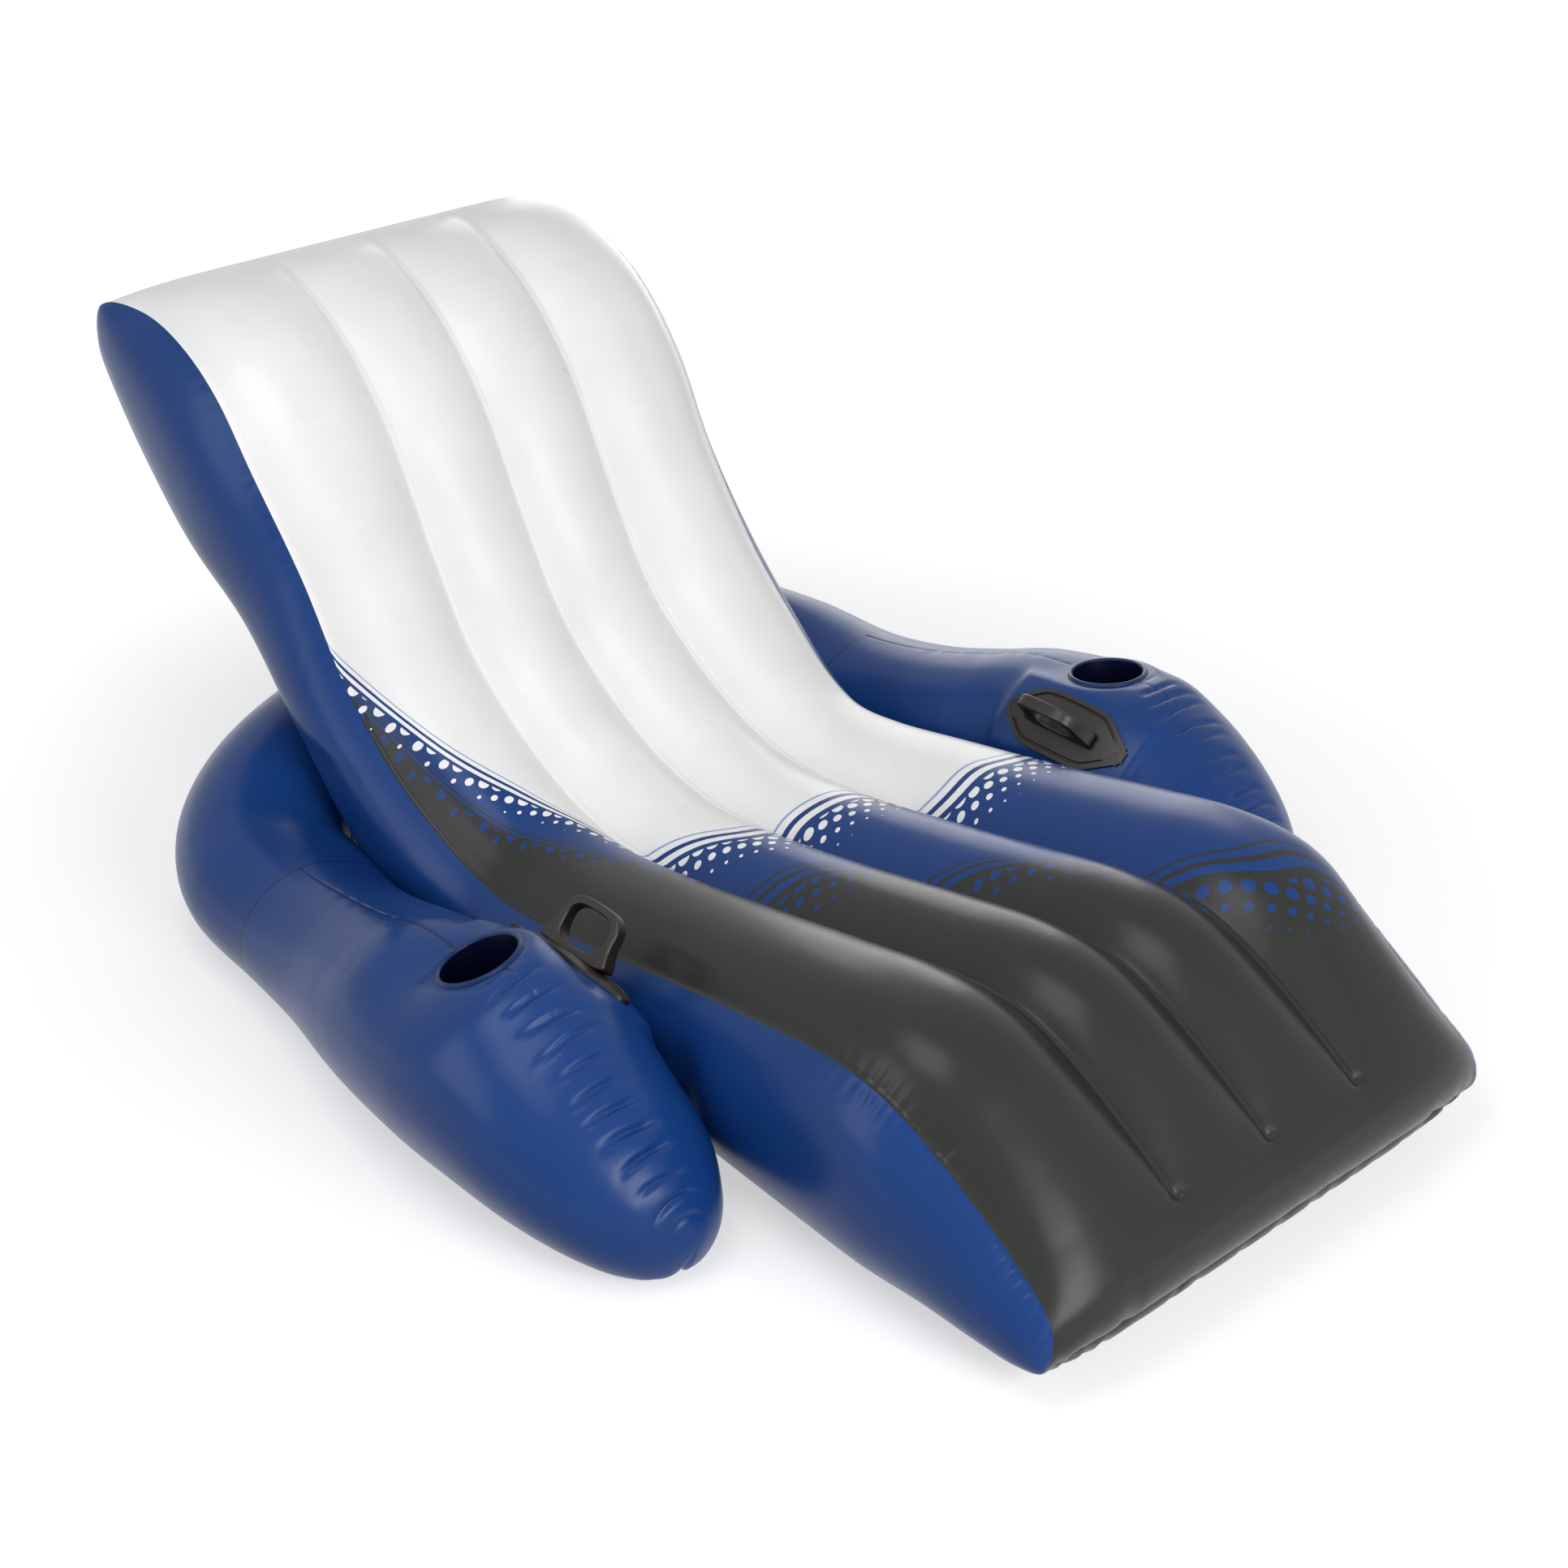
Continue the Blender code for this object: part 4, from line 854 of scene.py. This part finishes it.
def softened(points, weight, passes):
    """A grid that closes on itself across, relaxed towards the middle of its neighbours."""
    for _ in range(passes):
        ring = points[:, :-1]
        middle = (np.roll(ring, 1, axis=1) + np.roll(ring, -1, axis=1)) / 2
        middle[1:-1] = (middle[1:-1] + (ring[2:] + ring[:-2]) / 2) / 2
        ring = ring + weight[:, :-1, None] * (middle - ring)
        points = np.concatenate([ring, ring[:, :1]], axis=1)
    return points


ARM_GRID_ROWS, ARM_GRID_COLUMNS = 320, 84
arm_rows = ARM_ROWS * np.linspace(0, 1, ARM_GRID_ROWS + 1)
even = np.linspace(0, 1, ARM_GRID_COLUMNS + 1)
half_turn = 8 * (0.35 * even + 0.65 * (1 - np.cos(math.pi * even)) / 2)
arm_steps = np.concatenate([half_turn - 4, half_turn[1:] + 4])
arm_skin = tube_surface(arm_rows, arm_steps)
arm_skin[..., 0] = np.maximum(arm_skin[..., 0], TUBE_CONTACT)
mirror = np.array([-1.0, 1.0, 1.0])
PUCKER_SEEDS = {"left": 21, "right": 31}
NOSE_FADE, LOW_FADE = 0.045, 0.050
NOSE_MERGE, RIM_OPENING = 0.02 * MM, 0.0485
WIDE_PRESS, CLOSE_PRESS = 0.045, 0.012
LADDER_END, DIP_START, DIP_FADE = 0.37, 0.26, 0.10
LOW_SLOWER = 1.45
FIRM_REACH, FIRM_HEIGHT, NEAR_REACH, SOFT_PASSES = 0.006, 0.030, 0.10, 110
SEAM_DIP, SEAM_DIP_REACH = 0.8 * MM, 2.2 * MM
ARM_SHEETS = {"outer": (slice(0, ARM_GRID_COLUMNS + 1), (3, 0, 0.3)),
              "inner": (slice(ARM_GRID_COLUMNS, None), (-1, -0.1, 0.6))}
arm_along = np.repeat(distance_along(arm_skin, 0)[:, ARM_GRID_COLUMNS, None],
                      2 * ARM_GRID_COLUMNS + 1, axis=1)
past_top = distance_along(arm_skin, 1, ARM_GRID_COLUMNS)
from_top = np.where(past_top > 0, past_top * LOW_SLOWER, -past_top)
round_about = distance_along(arm_skin, 1)
from_low = np.minimum(round_about, round_about[:, -1:] - round_about)
for side_name, side in SIDES.items():
    seed = PUCKER_SEEDS[side_name]
    dents = gathers(arm_along, from_top, ((0.006, 0.40),), 0.027, 7.0 * MM, 0.066, seed, held=0,
                    signed=past_top, order=0.55)
    dents *= eased(from_low / LOW_FADE)
    dents += gathers(arm_along, from_low, ((0.050, 0.120),), 0.022, 2.4 * MM, 0.040, seed + 1)
    dents += gathers(arm_along, from_top, ((0.52, 0.80),), 0.032, 1.0 * MM, 0.024, seed + 2)
    dents += (SEAM_DIP * np.exp(-(np.minimum(from_top, from_low) / SEAM_DIP_REACH)**2)
              * eased((arm_along - DIP_START) / DIP_FADE))
    dents *= eased(arm_along / NOSE_FADE)
    # The film lies flat under the welded plate and rim, and is drawn smoothly towards them
    own_rim = tuple(part * (mirror if side < 0 else 1) for part in rim_plane(side))
    skin, firm, near = arm_skin, 0, 0
    fittings = ((handle_plane(1), to_plate), (own_rim, to_rim))
    for plane, fitting in fittings:
        skin = pressed(skin, plane, fitting, WIDE_PRESS)
    for plane, fitting in fittings:
        height, beyond = fitting(skin, plane)
        under = np.abs(height) < FIRM_HEIGHT
        firm = np.maximum(firm, eased(1 - beyond / FIRM_REACH) * under)
        near = np.maximum(near, eased(1.2 - np.hypot(beyond, height) / NEAR_REACH))
    skin = softened(skin, near * (1 - firm), SOFT_PASSES)
    for plane, fitting in fittings:
        skin = pressed(skin, plane, fitting, CLOSE_PRESS)
    closed_skin = np.concatenate([skin[:, -2:-1], skin, skin[:, 1:2]], axis=1)
    normals = surface_normals(closed_skin, (3, 0, 0.3))[:, 1:-1]
    normals *= np.sign(np.sum(normals * (skin - skin.mean(axis=1)[:, None]), axis=2).mean())
    normals[0] = (0, -1, 0)
    skin = skin - (dents * (1 - firm))[..., None] * normals
    skin[..., 0] = np.maximum(skin[..., 0], TUBE_CONTACT)
    skin = free_bulge(skin)
    skin[..., 2] = np.maximum(skin[..., 2], 0)
    skin[..., 1] -= SETBACK
    skin *= (side, 1, 1)
    # The weld shows as a line of painted shade past the ladder of puckers
    shade_line = np.minimum(np.minimum(np.abs(past_top), from_low), arm_along[-1, 0] - arm_along)
    shade_line = np.where(arm_along > LADDER_END, shade_line, 1.0)
    origin, normal = rim_plane(side)
    rim_seat = Vector(origin - np.array([0, SETBACK, 0])), Vector(normal)
    for across, (columns, outside) in ARM_SHEETS.items():
        sheet = film(f"arm_{across}_sheet_{side_name}", skin[:, columns], blue_vinyl,
                     np.array(outside) * (side, 1, 1), past_top[:, columns], arm_along[:, columns],
                     shade_line[:, columns])
        # The film is closed at the nose, and cut out inside the cup's welded rim
        open_round(sheet, rim_seat, RIM_OPENING, RIM_OPENING, merge=NOSE_MERGE)
        finish_film(sheet, f"arm_{across}_{side_name}")

CRESCENT_GRID_ROWS, CRESCENT_GRID_COLUMNS = 90, 56
crescent_rows = ARM_ROWS + CRESCENT_ROWS / 2 * np.linspace(0, 1, CRESCENT_GRID_ROWS + 1)
for level, first_step in (("upper", 0), ("lower", 8)):
    steps = first_step + 8 * (1 - np.cos(np.linspace(0, math.pi, CRESCENT_GRID_COLUMNS + 1))) / 2
    half = free_bulge(tube_surface(crescent_rows, steps))
    half[..., 2] = np.maximum(half[..., 2], 0)
    points = np.concatenate([half, half[-2::-1] * mirror])
    points[..., 1] -= SETBACK
    along = distance_along(points, 0)
    from_first = distance_along(points, 1)
    from_last = from_first[:, -1:] - from_first
    dents = gathers(along, from_first, ((0.02, 1.7),), 0.034, 1.0 * MM, 0.030, 41)
    dents += gathers(along, from_last, ((0.02, 1.2),), 0.026, 2.0 * MM, 0.035, 42)
    outside = (0, 0.6, 3) if level == "upper" else (0, 0.6, -3)
    points = points - dents[..., None] * surface_normals(points, outside)
    points[..., 2] = np.maximum(points[..., 2], 0)
    if level == "upper":
        points = drawn_to_valve(points, valve_seat("ring_valve"))
    # The seams at the sheet's edges show as a line of painted shade
    shade_line = np.minimum(np.minimum(from_first, from_last), np.minimum(along, along[-1:] - along))
    sheet = film(f"crescent_{level}_sheet", points, blue_vinyl, outside, from_first, along, shade_line)
    if level == "upper":
        open_round(sheet, valve_seat("ring_valve"), VALVE_OPENING, VALVE_CUT)
    finish_film(sheet, f"crescent_{level}_panel")

# Cup wells: a sleeve of dark blue film hangs in a round hole in each arm, closed by a disc at
# its foot. Its top edge is welded to the arm under a thin raised rim. The sleeve's near-black
# navy is partly painted shade: it is as dark as the shaded inside of the well.
CUP_RADIUS, CUP_DEPTH, CUP_RIM, CUP_TAPER = 0.047, 0.095, 0.007, 0.005
BEAD_PLACE, BEAD_HEIGHT, BEAD_RADIUS = CUP_RADIUS + 0.0029, 0.0012, 0.0028
SLEEVE_WAIST, BASE_DOME = 0.0022, 0.0035
SPIN_STEPS = 96
SHARP_ANGLE = math.radians(40)
# Painted shade: the sleeve's colour is taken as dark as the shaded inside of the well
well_vinyl_with_painted_shade = vinyl("cup_well_film_with_painted_shade", "10153A", 0.26)


def placed_at(plane, along):
    """Placement whose Z is a flat's normal and whose X runs along a direction."""
    origin, normal = plane
    z = Vector(normal).normalized()
    y = z.cross(Vector(along)).normalized()
    x = y.cross(z)
    spot = Vector(origin) - Vector((0, SETBACK, 0))
    return Matrix.Translation(spot) @ Matrix((x, y, z)).transposed().to_4x4()


def spun(name, profile, place, material):
    """Mesh piece from a profile (radius, height) spun round the placement's Z."""
    work = bmesh.new()
    verts = [work.verts.new((radius, 0, height)) for radius, height in profile]
    edges = [work.edges.new(pair) for pair in zip(verts, verts[1:])]
    bmesh.ops.spin(work, geom=verts + edges, cent=(0, 0, 0), axis=(0, 0, 1),
                   angle=2 * math.pi, steps=SPIN_STEPS, use_merge=True)
    bmesh.ops.remove_doubles(work, verts=work.verts, dist=0.01 * MM)
    bmesh.ops.recalc_face_normals(work, faces=work.faces)
    work.transform(place)
    item = object_of(name, work, material)
    item.data.set_sharp_from_angle(angle=SHARP_ANGLE)
    return item


for side_name, side in SIDES.items():
    place_of_cup = placed_at(cup_plane(side), (1, 0, 0))
    foot = CUP_RADIUS - CUP_TAPER
    rim = [(CUP_RADIUS + 0.0005, 0.0003), (CUP_RADIUS + CUP_RIM, 0.0003),
           (CUP_RADIUS + CUP_RIM, 0.0007), (CUP_RADIUS + 0.0058, 0.0011)]
    rim += [(BEAD_PLACE + BEAD_RADIUS * math.cos(turn), BEAD_HEIGHT + BEAD_RADIUS * math.sin(turn))
            for turn in np.linspace(0, math.pi, 9)]
    place_of_rim = placed_at(rim_plane(side), (1, 0, 0))
    welt = spun("cup_rim_" + side_name, rim + rim[:1], place_of_rim, blue_vinyl)
    on_chair(welt, "cup_wall_" + side_name, stands_for=False)
    depths = np.linspace(0, 1, 24)
    wall = [(CUP_RADIUS - CUP_TAPER * share - SLEEVE_WAIST * math.sin(math.pi * share),
             0.0008 - (CUP_DEPTH + 0.0008) * share) for share in depths]
    thick = [(radius - VINYL, height) for radius, height in reversed(wall)]
    sleeve = spun("cup_sleeve_" + side_name, wall + thick + wall[:1], place_of_cup, well_vinyl_with_painted_shade)
    # The sleeve's mouth follows the leaning rim, and its foot stays level
    centre, axis = place_of_cup.translation, place_of_cup.to_3x3().col[2]
    lean = place_of_rim.to_3x3().col[2]
    for vert in sleeve.data.vertices:
        away = vert.co - centre
        height = away.dot(axis)
        away -= axis * height
        share = min(max(1 + height / CUP_DEPTH, 0), 1)**2
        vert.co -= axis * (share * lean.dot(away) / lean.dot(axis))
    on_chair(sleeve, "cup_wall_" + side_name)
    radii = np.linspace(0, 1, 12)
    reach = foot - 0.0007
    disc = [(reach * r, -CUP_DEPTH + VINYL + BASE_DOME * (1 - r * r)) for r in radii]
    under = [(reach * r, -CUP_DEPTH + BASE_DOME * (1 - r * r)) for r in reversed(radii)]
    base = spun("cup_base_" + side_name, disc + under, place_of_cup, well_vinyl_with_painted_shade)
    on_chair(base, "cup_floor_" + side_name)

# Grab handles: one stiff moulding each, of near-black PVC. A barrel-shaped plate with a raised
# border is welded to the arm, and a bail with flared feet stands on it.
BAIL_HEIGHT, BAIL_WIDTH, BAIL_FOOT = 0.067, 0.017, 0.0312
HOLE_MIDDLE, HOLE_LENGTH, HOLE_HEIGHT = 0.0335, 0.0355, 0.0235
PLATE_STEPS = ((0.0008, 0.0), (0.0050, 0.0), (0.0012, -0.0024), (0.0016, 0.0), (0.0012, 0.0016))
PLATE_RINGS = ((0.0062, 0.0),) * 4
PLATE_SEAT, BORDER_RISE = 0.3 * MM, 1.2 * MM
BAIL_REACH, FOOT_FLARE, FOOT_WIDENING = 0.048, 0.030, 0.55

# Moulded soft PVC takes the tool's fine spark grain, drawn at 1.4 mm so that it breaks up the gloss
moulding, moulding_tree, moulding_shader = new_material("moulded_soft_pvc", {
    "Base Color": colour("17110E"), "IOR": PVC_IOR, "Specular IOR Level": 0.4})
moulding_places = add(moulding_tree, "TexCoord").outputs["Object"]
spark = add(moulding_tree, "TexNoise", {"Vector": moulding_places, "Scale": 700.0, "Detail": 2.0})
spark_bump = add(moulding_tree, "Bump", {"Height": spark, "Strength": 0.15, "Distance": 0.3 * MM})
moulding_tree.links.new(spark_bump.outputs[0], moulding_shader.inputs["Normal"])
wear = add(moulding_tree, "MapRange", {"Value": spark, "To Min": 0.34, "To Max": 0.46})
moulding_tree.links.new(wear.outputs[0], moulding_shader.inputs["Roughness"])


def squared(value, power, reach):
    """A sine or a cosine drawn out towards the side of a rounded box, times a reach."""
    return math.copysign(abs(value)**(2 / power) * reach, value)


def barrel(turn):
    """Outline of the plate: straight long sides in the middle, drawn in to narrower ends."""
    x = squared(math.cos(turn), 3.2, PLATE_LENGTH / 2)
    y = squared(math.sin(turn), 2.6, PLATE_WIDTH / 2)
    return x, y * (1 - 0.42 * eased((abs(x) - 0.045) / 0.055))


def new_verts(made):
    """The vertices that an extrusion has made."""
    return [item for item in made["geom"] if isinstance(item, bmesh.types.BMVert)]


for side_name, side in SIDES.items():
    place_of_handle = placed_at(handle_plane(side), (0, 1, 0))
    plate = bmesh.new()
    bmesh.ops.create_circle(plate, cap_ends=True, segments=96, radius=1)
    for vert in plate.verts:
        vert.co.x, vert.co.y = barrel(math.atan2(vert.co.y, vert.co.x))
        vert.co.z = PLATE_SEAT
    raised = bmesh.ops.extrude_face_region(plate, geom=plate.faces[:])
    bmesh.ops.translate(plate, verts=new_verts(raised), vec=(0, 0, PLATE_HEIGHT + BORDER_RISE))
    cap = max(plate.faces, key=lambda face: face.calc_center_median().z)
    for inset, rise in PLATE_STEPS + PLATE_RINGS:
        bmesh.ops.inset_region(plate, faces=[cap], thickness=inset)
        bmesh.ops.translate(plate, verts=cap.verts, vec=(0, 0, rise))
    for vert in plate.verts:
        vert.co.z -= plate_sag(vert.co.x, vert.co.y)
    # The bail starts as its hole's edge, which is drawn out to its outline and then given its width
    bail = bmesh.new()
    bmesh.ops.create_circle(bail, segments=64, radius=1)
    for vert in bail.verts:
        turn = math.atan2(vert.co.y, vert.co.x)
        x = squared(math.cos(turn), 3.0, HOLE_LENGTH)
        z = squared(math.sin(turn), 3.0, HOLE_HEIGHT)
        vert.co = (x * (1 + 0.08 * (z / HOLE_HEIGHT)), -BAIL_WIDTH / 2, HOLE_MIDDLE + z)
    outer = bmesh.ops.extrude_edge_only(bail, edges=bail.edges[:])
    for vert in new_verts(outer):
        turn = math.atan2((vert.co.z - HOLE_MIDDLE) / HOLE_HEIGHT, vert.co.x / HOLE_LENGTH)
        up = math.sin(turn)
        wide = BAIL_REACH + FOOT_FLARE * max(-up, 0)**1.2 - 0.003 * max(up, 0)
        tall = BAIL_HEIGHT - HOLE_MIDDLE if up > 0 else BAIL_FOOT
        vert.co = (squared(math.cos(turn), 3.6, wide), vert.co.y,
                   HOLE_MIDDLE + squared(up, 3.2, tall))
    thick = bmesh.ops.extrude_face_region(bail, geom=bail.faces[:])
    bmesh.ops.translate(bail, verts=new_verts(thick), vec=(0, BAIL_WIDTH, 0))
    for vert in bail.verts:
        low = 1 - vert.co.z / BAIL_HEIGHT
        vert.co.y *= 1 + FOOT_WIDENING * low**3
        vert.co.z -= low * plate_sag(vert.co.x, vert.co.y)
    for label, work, edge_round in (("plate", plate, 0.0006), ("bail", bail, 0.0026)):
        bmesh.ops.recalc_face_normals(work, faces=work.faces)
        work.transform(place_of_handle)
        item = object_of(f"handle_{label}_{side_name}", work, moulding)
        item.data.set_sharp_from_angle(angle=SHARP_ANGLE)
        rounding = item.modifiers.new("moulded_edges", "BEVEL")
        rounding.width = edge_round
        rounding.segments = 3
        rounding.limit_method = "ANGLE"
        rounding.angle_limit = math.radians(45)
        on_chair(item, "grab_handle_" + side_name, stands_for=label == "plate")

# Valves: moulded in clear PVC on the hidden side. The flange is welded to the film, the stem
# slides in it, and the plug with its pull tab closes the stem. Their CAD shapes are kept.

# Clear moulded PVC: faintly blue, half see-through, with the smooth gloss of a polished tool
clear_pvc = new_material("clear_moulded_pvc", {
    "Base Color": colour("C9D2DC"), "Roughness": 0.22, "IOR": PVC_IOR,
    "Transmission Weight": 0.5})[0]
for name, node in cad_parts.items():
    if "valve" in name:
        for slot_of_node in node.material_slots:
            slot_of_node.material = clear_pvc

# Hidden welds: strips of white film stand inside the lounge between its top and under welds,
# and a patch of film on each side holds the arm to the lounge.
white_vinyl = vinyl("white_pvc_film", "E9EAEC", 0.40)
WANDER = 1.2 * MM
inner_rows = [i for i, station in enumerate(stations)
              if WELD_START + WELD_FADE < station < WELD_END - WELD_FADE][::3]
for spacings, name in enumerate(("right", "middle", "left"), 1):
    weld_column = spacings * CHANNEL_COLUMNS
    upper, lower = top_points[inner_rows, weld_column], under_points[inner_rows, weld_column]
    depth = np.linspace(0.006, 0.994, 13)[None, :, None]
    points = upper[:, None] + (lower - upper)[:, None] * depth
    wander = np.linspace(0, 60, len(inner_rows))[:, None]
    points[..., 0] += WANDER * np.sin(wander) * np.sin(math.pi * depth[..., 0])
    strip = film("baffle_strip_" + name, points, white_vinyl, (3, 0, 0.3),
                 distance_along(points, 1), distance_along(points, 0))
    on_chair(strip, "baffle_" + name)

for side_name, side in SIDES.items():
    low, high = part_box("join_patch_" + side_name)
    ys, zs = np.linspace(low.y, high.y, 25), np.linspace(low.z, high.z, 7)
    points = np.stack(np.broadcast_arrays(side * max(abs(low.x), abs(high.x)), ys[:, None],
                                          zs[None, :]), axis=2)
    patch = film("join_weld_" + side_name, points, blue_vinyl, (side * 3, 0, 0.3),
                 points[..., 2], points[..., 1])
    on_chair(patch, "join_patch_" + side_name)
